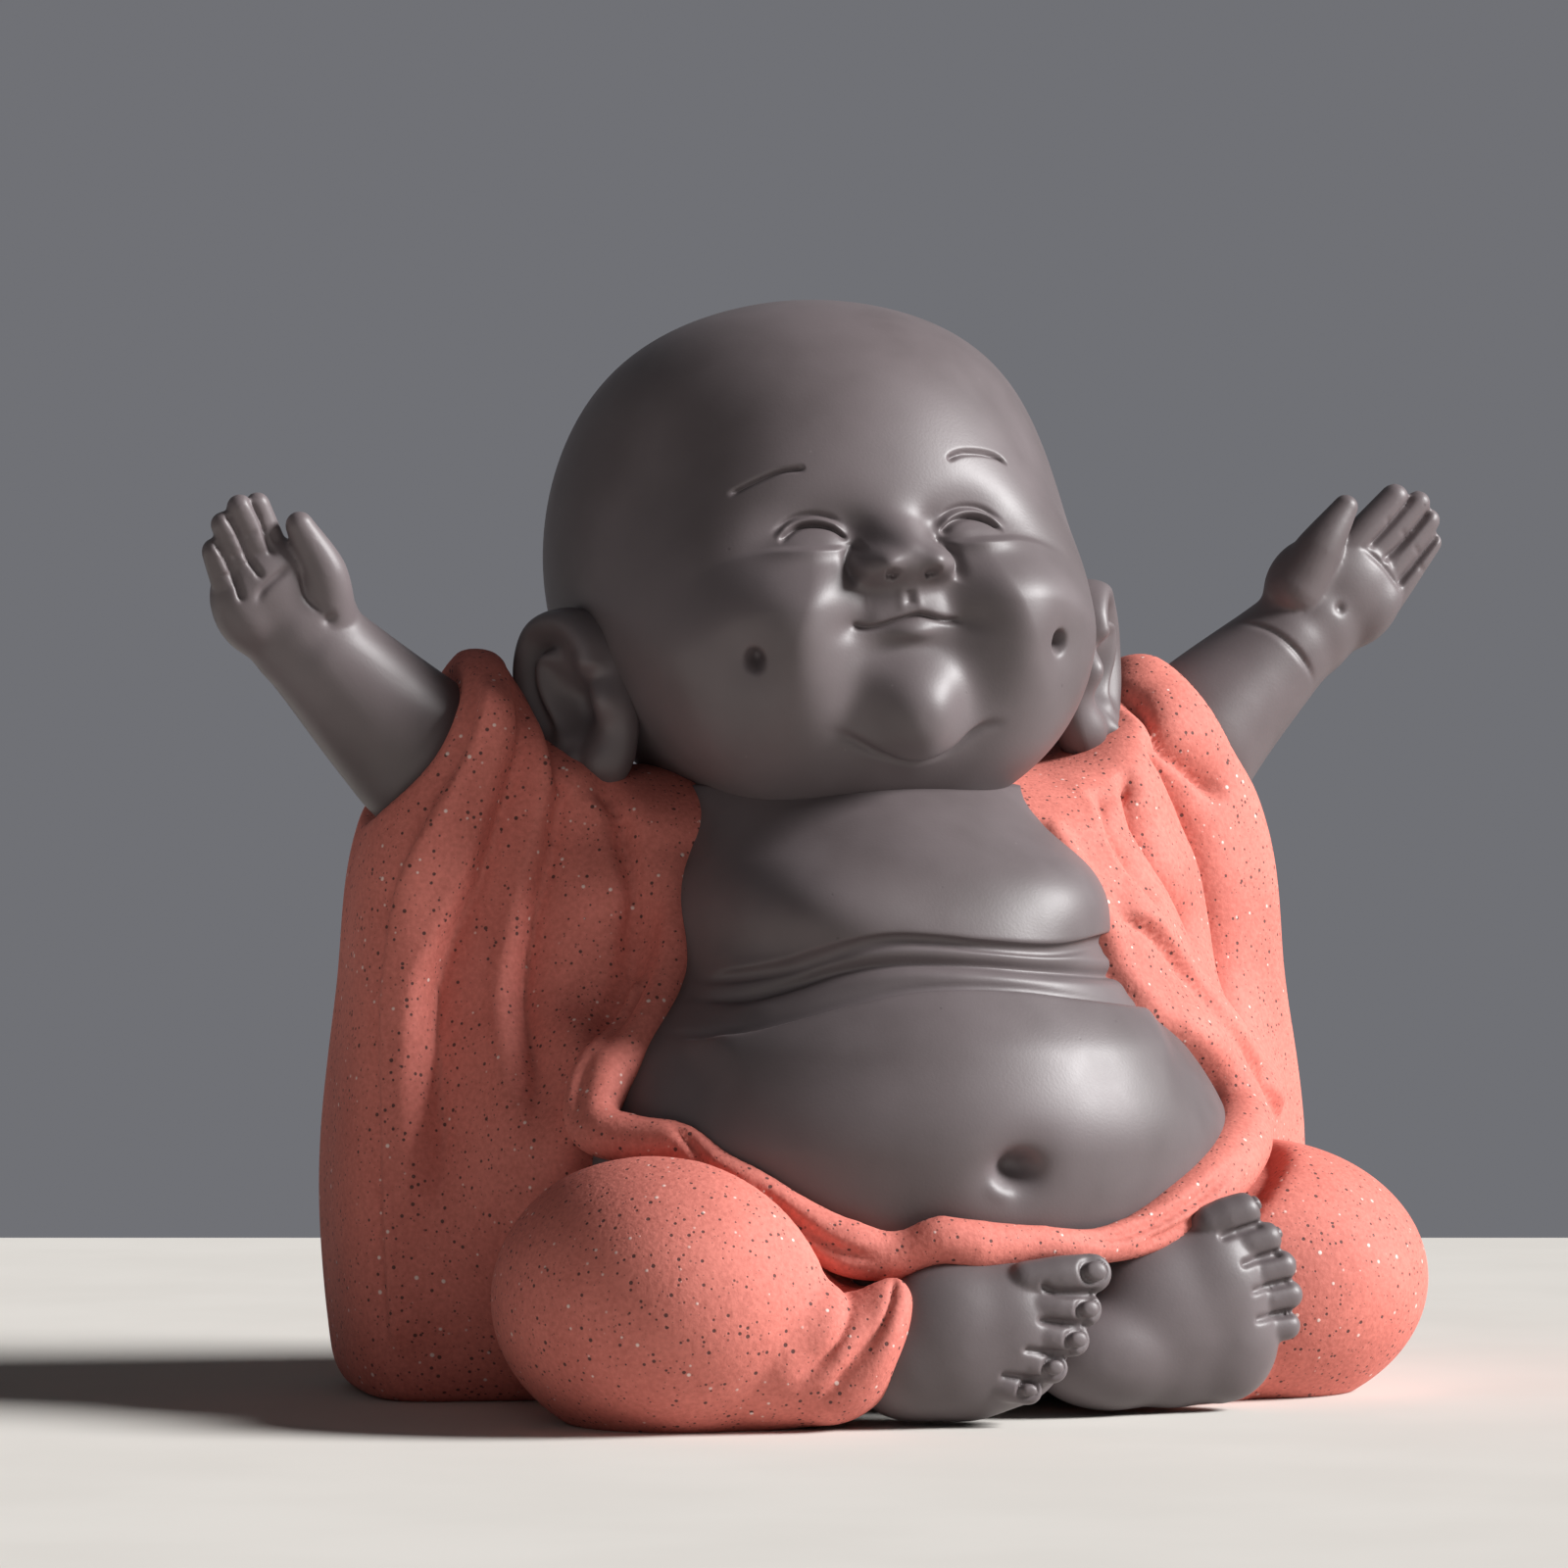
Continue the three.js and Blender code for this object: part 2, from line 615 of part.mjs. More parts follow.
function robeColumn(share) {
  const onSide = share < 0 ? right : left;
  const wing = Math.max(Math.abs(share) - 1, 0);
  const roundShare = sideRound / (robeHalfWidth - bellyHalfWidth);
  const side = clamp((wing - 1 + roundShare) / roundShare, 0, 1);
  const depth = (1 - side ** 3) ** (1 / 3);
  const middle = (sleeveBack - sleeveFront) / 2;
  const spring = lerp(fromTop(collarHeight), shoulderTop, smoothstep(wing, 0, 0.9)) - shoulderRound;
  const wave = 2 * Math.abs(Math.cos(Math.PI * (drapeCount * wing - drapePhase))) - 1;
  const fold = drapeDepth * wave * smoothstep(wing, 0, 0.15) * (1 - side * side);
  const lapel = (z) => lapelAt(z, onSide, lapelRoll);
  const front = (z) => {
    const forward = lerp(lapel(z).y, -sleeveFront, smoothstep(wing, 0, 0.85));
    return forward - fold * smoothstep(z, -0.3 * lipTop, 0.8 * lipTop);
  };
  const back = (z) => {
    const plain = lerp(robeBack, sleeveBack, smoothstep(Math.abs(share), 0, 1.8));
    return plain + 0.5 * fold - robeBackLean * (z / shoulderTop) ** 2;
  };
  const points = [];
  const add = (y, z) => {
    const inset = z < hemRound ? 0.6 * hemRound * (1 - Math.sqrt(1 - (1 - z / hemRound) ** 2)) : 0;
    const deep = middle + (y - middle - Math.sign(y - middle) * inset) * depth;
    const narrow = backTaper * wing * smoothstep(deep, -sleeveFront, sleeveBack) + inset * side;
    const behind = smoothstep(deep, -0.6 * sleeveFront, 0.4 * sleeveBack);
    const inner = lerp(Math.abs(lapel(z).x), Math.abs(lapelAt(z, right, lapelRoll).x), behind);
    const across = wing ? lerp(inner, robeSide(z) - narrow, wing) : Math.abs(share) * inner;
    points.push(vector(onSide * across, deep, z));
  };
  const rise = [0, 0.4 * hemRound, hemRound, ...span(hemRound, spring, 6).slice(1)];
  rise.forEach((z) => add(front(z), z));
  span(0, Math.PI, 6)
    .slice(1, -1)
    .forEach((angle) => {
      const over = (1 - Math.cos(angle)) / 2;
      add(lerp(front(spring), back(spring), over), spring + shoulderRound * Math.sin(angle));
    });
  rise.toReversed().forEach((z) => add(back(z), z));
  return points;
}

function robeForm() {
  const roundShare = sideRound / (robeHalfWidth - bellyHalfWidth);
  const half = [
    ...span(0, 1, 3).slice(0, -1),
    ...span(1, 2 - roundShare, 9).slice(0, -1),
    ...span(0, Math.PI / 2, 6).map((a) => 2 - roundShare * (1 - 0.995 * Math.sin(a))),
  ];
  const columns = [...half.slice(1).reverse().map((share) => -share), ...half];
  return loft(columns.map(robeColumn), true);
}

// Trouser legs: the round knee and the calf that runs in to the ankle
function legForms(side) {
  const across = side === left ? leftKneeReach : rightKneeReach;
  const forward = side === left ? leftKneeForward : rightKneeForward;
  const knee = vector(side * across, -bellyFront - forward, kneeHeight);
  const half = vector(kneeHalfWidth, kneeHalfDepth, kneeHalfHeight);
  const ankle = ankleOf(side);
  const midway = knee.clone().lerp(ankle, 0.5).add(vector(0, -calfBow, 0));
  const calf = limb([knee, midway, ankle], [calfRadius, calfRadius * 0.84, ankleRadius], 12, 5);
  return [blob(knee, half, noTurn, 16, 10), calf];
}

function ankleOf(side) {
  const across = side === left ? leftAnkleReach : rightAnkleReach;
  const forward = side === left ? leftAnkleForward : rightAnkleForward;
  return vector(side * across, -bellyFront - forward, ankleHeight);
}

// Feet: the right one lies on its edge with the instep forward, the left one shows its sole
const footPoses = {
  [right]: {
    along: vector(1, -0.1, 0.02),
    facing: vector(0, -1, 0),
    heel: vector(rightHeelAhead, -rightHeelForward, 0),
    slant: 0.5,
  },
  [left]: {
    along: vector(0.9, -0.08, 0.42),
    facing: vector(-0.25, -0.95, 0.1),
    heel: vector(-leftHeelAhead, -leftHeelForward, -leftHeelDrop),
    slant: 0,
  },
};
function footForms(side) {
  const ankle = ankleOf(side);
  const { along, facing, heel, slant } = footPoses[side];
  const turn = turnTo(along.clone().normalize(), facing);
  const place = (across, front, far) => {
    const slanted = far + (slant * across * far) / footLength;
    return vector(across, front, slanted).applyQuaternion(turn).add(ankle).add(heel);
  };
  const ellipse = span(0, 2 * Math.PI, 10).slice(0, -1);
  const sole = loft(
    footStations.map(([far, wide, thick]) =>
      ellipse.map((a) =>
        place(
          0.5 * wide * footWidth * Math.cos(a),
          0.5 * thick * footThickness * Math.sin(a),
          far * footLength,
        ),
      ),
    ),
  );
  const toes = [-2, -1, 0, 1, 2].map((i) => {
    const size = toeRadius * (i === 2 ? 1.3 : 1 + 0.06 * i);
    const root = place(i * 0.19 * footWidth, 0.4, 0.7 * footLength);
    const tip = place(i * 0.2 * footWidth, 0.8, 0.95 * footLength - 0.4 * Math.abs(i));
    return fingerForm(root, tip, size);
  });
  const plug = fingerForm(ankle, place(0, 0, 0.4 * footLength), anklePlugRadius);
  return [sole, plug, ...toes];
}

// Rolled edge of the robe: down one side of the chest, over the lap round the belly and up the other side
function edgeForm() {
  const stand = 0.4 * hemRadius;
  const lap = span(-hemSweep, hemSweep, 12).map((angle) => {
    const turn = degToRad(angle);
    const rise = hemRise * Math.abs(Math.sin(turn)) ** hemSag;
    const corner = flapOut * smoothstep(Math.abs(angle), 0.6 * hemSweep, hemSweep);
    return torsoPoint(turn, hemHeight + rise, stand + corner);
  });
  const lapel = (side) =>
    span(hemHeight + hemRise, fromTop(lapelTop), 4)
      .slice(1)
      .map((z) => lapelAt(z, side, stand));
  const points = [...lapel(right).toReversed(), ...lap, ...lapel(left)];
  const halfRadii = [edgeEndRadius, hemRadius, hemEndRadius, hemRadius];
  const radii = [...halfRadii, hemRadius, ...halfRadii.toReversed()];
  return limb(points, radii, 6, 28);
}

// Seats that the pieces leave in their neighbours
const seatHeights = [...lowRows, ...creases, ...highRows];
const torsoSeat = fuse([loft(torsoRings(seatHeights, torsoColumns, 1, 0, 0))], slipGap + chordGap);
const headSeat = fuse([skullForm(5, 0), plugForm], slipGap + chordGap);
const earSeats = [left, right].map((side) => fuse([earForm(side)], slipGap));
const armSeats = [left, right].map((side) => fuse(armForms(side), slipGap));
const footSeats = [left, right].map((side) => fuse(footForms(side), slipGap));
const legSeats = [left, right].map((side) => fuse(legForms(side), slipGap));
const edgeSeat = fuse([edgeForm()], slipGap);
const drain = fuse([drainForm]);
const slabThroat = slabForm(slabRadius - slabLedge, 0, slabThickness + 2 * wall);
const hollow = fuse([cavityForm, slabSeat, slabThroat, navelForm]).add(drain);

const robe = cut(fuse([robeForm()]), torsoSeat, headSeat, ...earSeats, ...armSeats, ...legSeats, edgeSeat);
const onGround = (piece) => piece.intersect(aboveGround);
const seamSide = seamReach + (slipGap + reach) / 2;
const sleeveBox = (side) => fuse([box([reach, reach, reach], [side * seamSide, 0, 0])]);
const backBox = fuse([box([2 * seamReach - slipGap, reach, reach], [0, 0, 0])]);
const rightFootSeat = footSeats[1];
const rightLegSeat = legSeats[1];
const leftFoot = cut(onGround(fuse(footForms(left))), torsoSeat, edgeSeat, rightFootSeat);
const rightFoot = cut(onGround(fuse(footForms(right))), torsoSeat, edgeSeat);
const leftLeg = cut(onGround(fuse(legForms(left))), torsoSeat, edgeSeat, ...footSeats, rightLegSeat);
const rightLeg = cut(onGround(fuse(legForms(right))), torsoSeat, edgeSeat, ...footSeats);

const flesh = { color: 0x675e61, roughness: 0.6, metalness: 0 };
const cloth = { color: 0xce7165, roughness: 0.7, metalness: 0 };
const pieces = [
  ["torso", flesh, cut(fuse([torsoForm]), headSeat, ...armSeats, hollow)],
  ["base_slab", flesh, cut(fuse([slabForm(slabRadius, 0, slabThickness)]), fuse([ventForm]))],
  ["head", flesh, cut(fuse(headForms), ...earSeats, fuse([skullCavity]), drain)],
  ["left_ear", flesh, cut(fuse([earForm(left)]), fuse([earCup(left)]), ...armSeats)],
  ["right_ear", flesh, cut(fuse([earForm(right)]), fuse([earCup(right)]), ...armSeats)],
  ["left_arm", flesh, fuse(armForms(left))],
  ["right_arm", flesh, fuse(armForms(right))],
  ["left_foot", flesh, leftFoot],
  ["right_foot", flesh, rightFoot],
  ["left_trouser_leg", cloth, leftLeg],
  ["right_trouser_leg", cloth, rightLeg],
  ["robe_edge", cloth, cut(fuse([edgeForm()]), torsoSeat)],
  ["robe_back", cloth, cut(robe.intersect(backBox))],
  ["left_sleeve", cloth, cut(robe.intersect(sleeveBox(left)))],
  ["right_sleeve", cloth, cut(robe.intersect(sleeveBox(right)))],
];

const figure = new THREE.Group();
for (const [name, look, piece] of pieces) {
  const { vertProperties, triVerts } = piece.getMesh();
  const geometry = new THREE.BufferGeometry();
  geometry.setAttribute("position", new THREE.BufferAttribute(vertProperties, 3));
  geometry.setIndex(new THREE.BufferAttribute(triVerts, 1));
  const mesh = new THREE.Mesh(geometry, new THREE.MeshStandardMaterial(look));
  mesh.name = name;
  figure.add(mesh);
}

// The origin is the middle of the figure's footprint.
const bounds = new THREE.Box3().setFromObject(figure);
const middle = bounds.getCenter(new THREE.Vector3());
figure.children.forEach((mesh) => mesh.position.set(-middle.x, -middle.y, -bounds.min.z));

export default figure;
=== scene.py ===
import math

import bpy
import numpy as np
from mathutils import Matrix, Vector


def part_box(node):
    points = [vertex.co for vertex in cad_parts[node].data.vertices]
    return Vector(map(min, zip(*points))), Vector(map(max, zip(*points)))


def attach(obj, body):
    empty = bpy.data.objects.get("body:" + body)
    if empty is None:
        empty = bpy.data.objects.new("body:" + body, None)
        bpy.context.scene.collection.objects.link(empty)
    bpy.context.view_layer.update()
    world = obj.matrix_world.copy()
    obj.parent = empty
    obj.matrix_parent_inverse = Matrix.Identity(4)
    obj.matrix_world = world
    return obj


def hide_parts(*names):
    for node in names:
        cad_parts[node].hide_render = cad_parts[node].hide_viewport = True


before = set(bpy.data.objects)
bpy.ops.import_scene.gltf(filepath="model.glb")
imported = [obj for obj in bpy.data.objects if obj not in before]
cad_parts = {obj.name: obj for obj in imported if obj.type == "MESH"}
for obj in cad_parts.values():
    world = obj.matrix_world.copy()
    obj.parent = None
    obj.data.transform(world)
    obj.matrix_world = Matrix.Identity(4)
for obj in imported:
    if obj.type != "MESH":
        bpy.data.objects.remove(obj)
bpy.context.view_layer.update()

bpy.context.scene.view_settings.view_transform = "Standard"

# The figure is modelled in millimetres, with the plane of its arms at y = 0 and its front at -y.
# layIn() takes a finished piece to metres in the frame of the CAD parts.
mm = 0.001
slabForward = 10.0
slabLow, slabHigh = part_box("base_slab")
figureOrigin = np.array([(slabLow.x + slabHigh.x) / 2,
                         (slabLow.y + slabHigh.y) / 2 + slabForward * mm, 0.0])
forwards = np.array([0, -1.0, 0])
left, right = 1, -1


# shader maths

class Strand:
    def __init__(self, tree, socket=None):
        self.tree = tree
        self.socket = socket

    def add(self, kind, settings=None, inputs=None, output=0):
        node = self.tree.nodes.new(kind)
        for key, value in (settings or {}).items():
            setattr(node, key, value)
        for key, value in (inputs or {}).items():
            if isinstance(value, Strand):
                self.tree.links.new(value.socket, node.inputs[key])
            else:
                node.inputs[key].default_value = value
        return Strand(self.tree, node.outputs[output])

    def maths(self, operation, first, second):
        return self.add("ShaderNodeMath", {"operation": operation}, {0: first, 1: second})

    def __add__(self, other):
        return self.maths("ADD", self, other)

    def __radd__(self, other):
        return self.maths("ADD", other, self)

    def __sub__(self, other):
        return self.maths("SUBTRACT", self, other)

    def __rsub__(self, other):
        return self.maths("SUBTRACT", other, self)

    def __mul__(self, other):
        return self.maths("MULTIPLY", self, other)

    def __rmul__(self, other):
        return self.maths("MULTIPLY", other, self)

    def __lt__(self, other):
        return self.maths("LESS_THAN", self, other)

    def blend(self, first, second):
        mix = {"data_type": "RGBA"}
        return self.add("ShaderNodeMix", mix, {0: self, 6: first, 7: second}, 2)

    def ease(self, start, end):
        limits = {"Value": self, "From Min": start, "From Max": end}
        return self.add("ShaderNodeMapRange", {"interpolation_type": "SMOOTHSTEP"}, limits)

    def noise(self, scale, detail):
        return self.add("ShaderNodeTexNoise", None, {"Vector": self, "Scale": scale, "Detail": detail})


def newMaterial(name, specular):
    material = bpy.data.materials.new(name)
    material.use_nodes = True
    shader = material.node_tree.nodes["Principled BSDF"]
    shader.inputs["Specular IOR Level"].default_value = specular
    place = Strand(material.node_tree).add("ShaderNodeTexCoord", output=3)
    return material, shader, place


def feed(shader, name, strand):
    strand.tree.links.new(strand.socket, shader.inputs[name])


# Grains of one kind: cells of a given pitch in mm, of which a share holds a grain of up to a size.
def grains(place, pitch, share, size, seedShift):
    leastSize, rim = 0.35, 0.06
    shift = {0: place, 1: (seedShift,) * 3}
    moved = place.add("ShaderNodeVectorMath", {"operation": "ADD"}, shift)
    cells = {"Vector": moved, "Scale": 1 / (pitch * mm)}
    distance = place.add("ShaderNodeTexVoronoi", None, cells)
    colour = place.add("ShaderNodeTexVoronoi", None, cells, 1)
    pick = place.add("ShaderNodeSeparateColor", None, {0: colour}, 0)
    spread = place.add("ShaderNodeSeparateColor", None, {0: colour}, 1)
    reach = spread * (size / pitch) + leastSize * size / pitch
    return (pick < share) * (1 - (distance - reach).ease(-rim, rim))


darkLook = dict(
    deep=(0.102, 0.082, 0.084, 1), light=(0.150, 0.123, 0.128, 1), cloud=(55.0, 4.0), tones=(0.3, 0.7),
    pores=(2.6, 0.10, 0.10, 3.1), pore=(0.045, 0.034, 0.036, 1), poreCover=0.7, poreDepth=1.5,
    flecks=(1.7, 0.05, 0.07, 7.7), fleck=(0.30, 0.26, 0.26, 1), fleckCover=0.5,
    rubbed=(240.0, 2.0), rubs=(0.25, 0.75), roughness=0.45, rougher=0.05, specular=0.45,
    grit=(3800.0, 3.0), gritHeight=0.6, bump={"Strength": 0.22, "Distance": 0.00008})


def darkClayMaterial():
    look = darkLook
    material, shader, place = newMaterial("dark_clay_look", look["specular"])
    tone = place.noise(*look["cloud"]).ease(*look["tones"]).blend(look["deep"], look["light"])
    pores = grains(place, *look["pores"])
    flecks = grains(place, *look["flecks"])
    tone = (pores * look["poreCover"]).blend(tone, look["pore"])
    tone = (flecks * look["fleckCover"]).blend(tone, look["fleck"])
    feed(shader, "Base Color", tone)
    rubbed = place.noise(*look["rubbed"]).ease(*look["rubs"])
    feed(shader, "Roughness", rubbed * look["rougher"] + look["roughness"])
    height = place.noise(*look["grit"]) * look["gritHeight"] - pores * look["poreDepth"]
    feed(shader, "Normal", place.add("ShaderNodeBump", None, look["bump"] | {"Height": height}))
    return material


coralLook = dict(
    deep=(0.51, 0.138, 0.108, 1), light=(0.70, 0.212, 0.168, 1), tones=(0.32, 0.78),
    cloud=(95.0, 5.0), cloudShare=0.55, sand=(2100.0, 3.0), sandShare=0.55, sandHeight=1.1,
    dark=(0.035, 0.022, 0.022, 1), darkGrains=(0.66, 0.48, 0.145, 1.3), darkCover=0.85, darkDepth=0.8,
    dust=(0.44, 0.36, 0.09, 4.9), dustCover=0.55,
    # pale grains: near-white specks painted as glints of light, on grains that are also raised and
    # glossier
    paintedGlint=(0.86, 0.70, 0.64, 1), glintGrains=(1.15, 0.40, 0.15, 8.5), glintCover=0.8, paleHeight=0.5,
    roughness=0.76, paleGloss=0.42, specular=0.4, bump={"Strength": 0.45, "Distance": 0.00012})


def coralClayMaterial():
    look = coralLook
    material, shader, place = newMaterial("coral_clay_look", look["specular"])
    sand = place.noise(*look["sand"])
    mottle = place.noise(*look["cloud"]) * look["cloudShare"] + sand * look["sandShare"]
    tone = mottle.ease(*look["tones"]).blend(look["deep"], look["light"])
    darkGrains = grains(place, *look["darkGrains"])
    dust = grains(place, *look["dust"])
    # grains that carry the painted glints; they are also raised and glossier
    glintGrains = grains(place, *look["glintGrains"])
    tone = (darkGrains * look["darkCover"]).blend(tone, look["dark"])
    tone = (dust * look["dustCover"]).blend(tone, look["dark"])
    # painted glints: the pale grains are coloured near-white as specks of light
    tone = (glintGrains * look["glintCover"]).blend(tone, look["paintedGlint"])
    feed(shader, "Base Color", tone)
    feed(shader, "Roughness", look["roughness"] - glintGrains * look["paleGloss"])
    height = sand * look["sandHeight"] + glintGrains * look["paleHeight"]
    height = height - darkGrains * look["darkDepth"]
    feed(shader, "Normal", place.add("ShaderNodeBump", None, look["bump"] | {"Height": height}))
    return material


darkClay = darkClayMaterial()
coralClay = coralClayMaterial()
print("clays mixed")


# modelling helpers

def deselect():
    bpy.ops.object.select_all(action="DESELECT")


def sphere(segments, rings):
    deselect()
    bpy.ops.mesh.primitive_uv_sphere_add(radius=1, segments=segments, ring_count=rings)
    return bpy.context.object


def inEditMode(operation, **options):
    bpy.ops.object.mode_set(mode="EDIT")
    bpy.ops.mesh.select_all(action="SELECT")
    operation(**options)
    bpy.ops.object.mode_set(mode="OBJECT")


def vectorsOf(items, name):
    flat = np.empty(len(items) * 3)
    items.foreach_get(name, flat)
    return flat.reshape(-1, 3)


def pointsOf(piece):
    return vectorsOf(piece.data.vertices, "co")


def normalsOf(piece):
    return vectorsOf(piece.data.vertices, "normal")


def setPoints(piece, points):
    piece.data.vertices.foreach_set("co", np.asarray(points, float).ravel())
    piece.data.update()


def unit(vectors):
    vectors = np.asarray(vectors, float)
    return vectors / np.linalg.norm(vectors, axis=-1, keepdims=True)


def ease(value, start, end):
    share = np.clip((value - start) / (end - start), 0, 1)
    return share * share * (3 - 2 * share)


def bell(value, reach):
    return np.exp(-(np.maximum(value, 0) / reach) ** 2)


def turnAbout(axis, degrees):
    return np.array(Matrix.Rotation(math.radians(degrees), 3, axis))


# A smooth line through a few given points.
def smoothLine(points, steps=8):
    points = np.asarray(points, float)
    if len(points) < 3:
        return points
    padded = np.vstack([2 * points[0] - points[1], points, 2 * points[-1] - points[-2]])
    line = []
    for a, b, c, d in zip(padded, padded[1:], padded[2:], padded[3:]):
        for t in np.arange(steps) / steps:
            line.append(0.5 * (2 * b + (c - a) * t + (2 * a - 5 * b + 4 * c - d) * t**2
                               + (3 * b - a - 3 * c + d) * t**3))
    return np.array(line + [points[-1]])


# A smooth function through a few given pairs, level beyond its ends.
def curveThrough(pairs):
    at, value = np.array(pairs, float).T
    slope = np.empty(len(at))
    slope[1:-1] = (value[2:] - value[:-2]) / (at[2:] - at[:-2])
    slope[0] = 1.5 * (value[1] - value[0]) / (at[1] - at[0]) - 0.5 * slope[1]
    slope[-1] = 1.5 * (value[-1] - value[-2]) / (at[-1] - at[-2]) - 0.5 * slope[-2]

    def evaluate(x):
        x = np.clip(x, at[0], at[-1])
        i = np.clip(np.searchsorted(at, x) - 1, 0, len(at) - 2)
        gap = at[i + 1] - at[i]
        t = (x - at[i]) / gap
        return ((2 * t**3 - 3 * t**2 + 1) * value[i] + (t**3 - 2 * t**2 + t) * gap * slope[i]
                + (3 * t**2 - 2 * t**3) * value[i + 1] + (t**3 - t**2) * gap * slope[i + 1])

    return evaluate


# Distance of each point on a flat map from a line, how far along the line it is, and on which side.
def fromLine(points, line):
    best = np.full(len(points), np.inf)
    along = np.zeros(len(points))
    side = np.zeros(len(points))
    lengths = np.linalg.norm(np.diff(line, axis=0), axis=1)
    done = 0
    for a, b, length in zip(line, line[1:], lengths):
        way = b - a
        share = np.clip(((points - a) @ way) / (length * length), 0, 1)
        off = points - a - share[:, None] * way
        gap = np.linalg.norm(off, axis=1)
        near = gap < best
        best[near] = gap[near]
        along[near] = (done + share[near] * length) / lengths.sum()
        side[near] = np.sign(way[0] * off[near, 1] - way[1] * off[near, 0])
        done += length
    return best, along, side


# Runs a profile of (gap, along, side) over the points that a tool of some reach touches.
def drawn(points, line, reach, profile):
    line = smoothLine(line)
    near = np.all((points > line.min(0) - reach) & (points < line.max(0) + reach), axis=1)
    result = np.zeros(len(points))
    result[near] = profile(*fromLine(points[near], line))
    return result


def bothEnds(along, fade):
    return ease(np.minimum(along, 1 - along), 0, fade) if fade else 1.0


# Height of a stroke drawn with a round tool: it fades out at both ends.
def stroke(points, line, radius, height, fade=0.2):
    def profile(gap, along, side):
        return height * bothEnds(along, fade) * np.exp(-(gap / radius) ** 2)
    return drawn(points, line, 2.6 * radius, profile)


# A step along a line: the side above it (or below, with up = -1) stands proud, less so farther off.
def shelf(points, line, soft, height, reach, up=1, fade=0.2):
    def profile(gap, along, side):
        above = gap * side * up
        return height * bothEnds(along, fade) * ease(above, -soft, soft) * bell(above, reach)
    return drawn(points, line, 2.2 * reach, profile)


# A sharp valley between folds, with a reach to either side, for lines drawn downwards.
def valley(points, line, depth, leftReach, rightReach, fade=0.2):
    def profile(gap, along, side):
        ends = ease(along, 0, fade) * ease(1 - along, 0, 2 * fade)
        return -depth * ends * np.exp(-gap / np.where(side > 0, rightReach, leftReach))
    return drawn(points, line, 3.5 * max(leftReach, rightReach), profile)


def ball(points, centre, size, height, power=2.0):
    gap = np.linalg.norm((points - np.asarray(centre, float)) / np.asarray(size, float), axis=1)
    return height * np.exp(-gap ** power)


# Adds up marks on a flat map of the skin: each is a tool, its place, and the tool's own settings.
def relief(points, marks, side=left):
    total = np.zeros(len(points))
    for tool, place, *settings in marks:
        total += tool(points, np.asarray(place, float) * (side, 1), *settings)
    return total


def shifted(line, x, z):
    return [(a + x, b + z) for a, b in line]


# A lump of clay: a sphere at its size and place, turned by a matrix.
def lump(centre, half, turn=None, segments=32, rings=20):
    piece = sphere(segments, rings)
    points = pointsOf(piece) * np.asarray(half, float)
    if turn is not None:
        points = points @ np.asarray(turn).T
    setPoints(piece, points + np.asarray(centre, float))
    return piece


# A strand of clay rolled along a line, with a radius at each given point and round ends.
def rolled(line, radii, segments, rings):
    capShare, aheadShare = 0.3, 0.02
    piece = sphere(segments, rings)
    points = pointsOf(piece)
    path = smoothLine(line, 16)
    steps = np.concatenate([[0], np.cumsum(np.linalg.norm(np.diff(path, axis=0), axis=1))])
    shares = steps / steps[-1]
    onPath = lambda share: np.stack([np.interp(share, shares, axis) for axis in path.T], 1)
    latitude = np.arcsin(np.clip(points[:, 2], -1, 1)) / (math.pi / 2)
    around = np.arctan2(points[:, 1], points[:, 0])[:, None]
    share = (np.clip(latitude / (1 - capShare), -1, 1) + 1) / 2
    capTurn = np.clip((np.abs(latitude) - (1 - capShare)) / capShare, 0, 1) * math.pi / 2
    radius = np.interp(share, np.linspace(0, 1, len(radii)), radii)
    reach = (radius * np.cos(capTurn))[:, None]
    beyond = (np.sign(latitude) * radius * np.sin(capTurn))[:, None]
    tangent = unit(onPath(share + aheadShare) - onPath(share - aheadShare))
    front = unit(forwards - tangent * (tangent @ forwards)[:, None])
    ring = np.cross(tangent, front) * np.cos(around) + front * np.sin(around)
    setPoints(piece, onPath(share) + ring * reach + tangent * beyond)
    return piece


def rub(piece, times):
    bpy.context.view_layer.objects.active = piece
    soft = piece.modifiers.new("soft", "SMOOTH")
    soft.factor = 0.5
    soft.iterations = times
    bpy.ops.object.modifier_apply(modifier="soft")


# Several lumps worked into one skin, then rubbed smooth.
def work(lumps, voxel, smoothing):
    deselect()
    for piece in lumps:
        piece.select_set(True)
    whole = lumps[0]
    bpy.context.view_layer.objects.active = whole
    if len(lumps) > 1:
        bpy.ops.object.join()
    inEditMode(bpy.ops.mesh.normals_make_consistent, inside=False)
    skin = whole.modifiers.new("skin", "REMESH")
    skin.mode = "VOXEL"
    skin.voxel_size = voxel
    bpy.ops.object.modifier_apply(modifier="skin")
    rub(whole, smoothing)
    return whole


# Moves the skin along its normals by a height at each point.
def press(piece, height):
    setPoints(piece, pointsOf(piece) + normalsOf(piece) * height[:, None])


# A finished piece: smooth, in metres, in its place on the body.
def layIn(piece, name, material, slot, *nodes):
    piece.name = name
    piece.data.name = name
    points = pointsOf(piece)
    points[:, 2] = np.maximum(points[:, 2], 0)
    setPoints(piece, points * mm + figureOrigin)
    deselect()
    piece.select_set(True)
    bpy.context.view_layer.objects.active = piece
    bpy.ops.object.shade_smooth()
    piece.data.materials.clear()
    piece.data.materials.append(material)
    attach(piece, "root")
    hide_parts(*nodes)
    print(name, len(piece.data.polygons), "faces")
    return piece


# torso

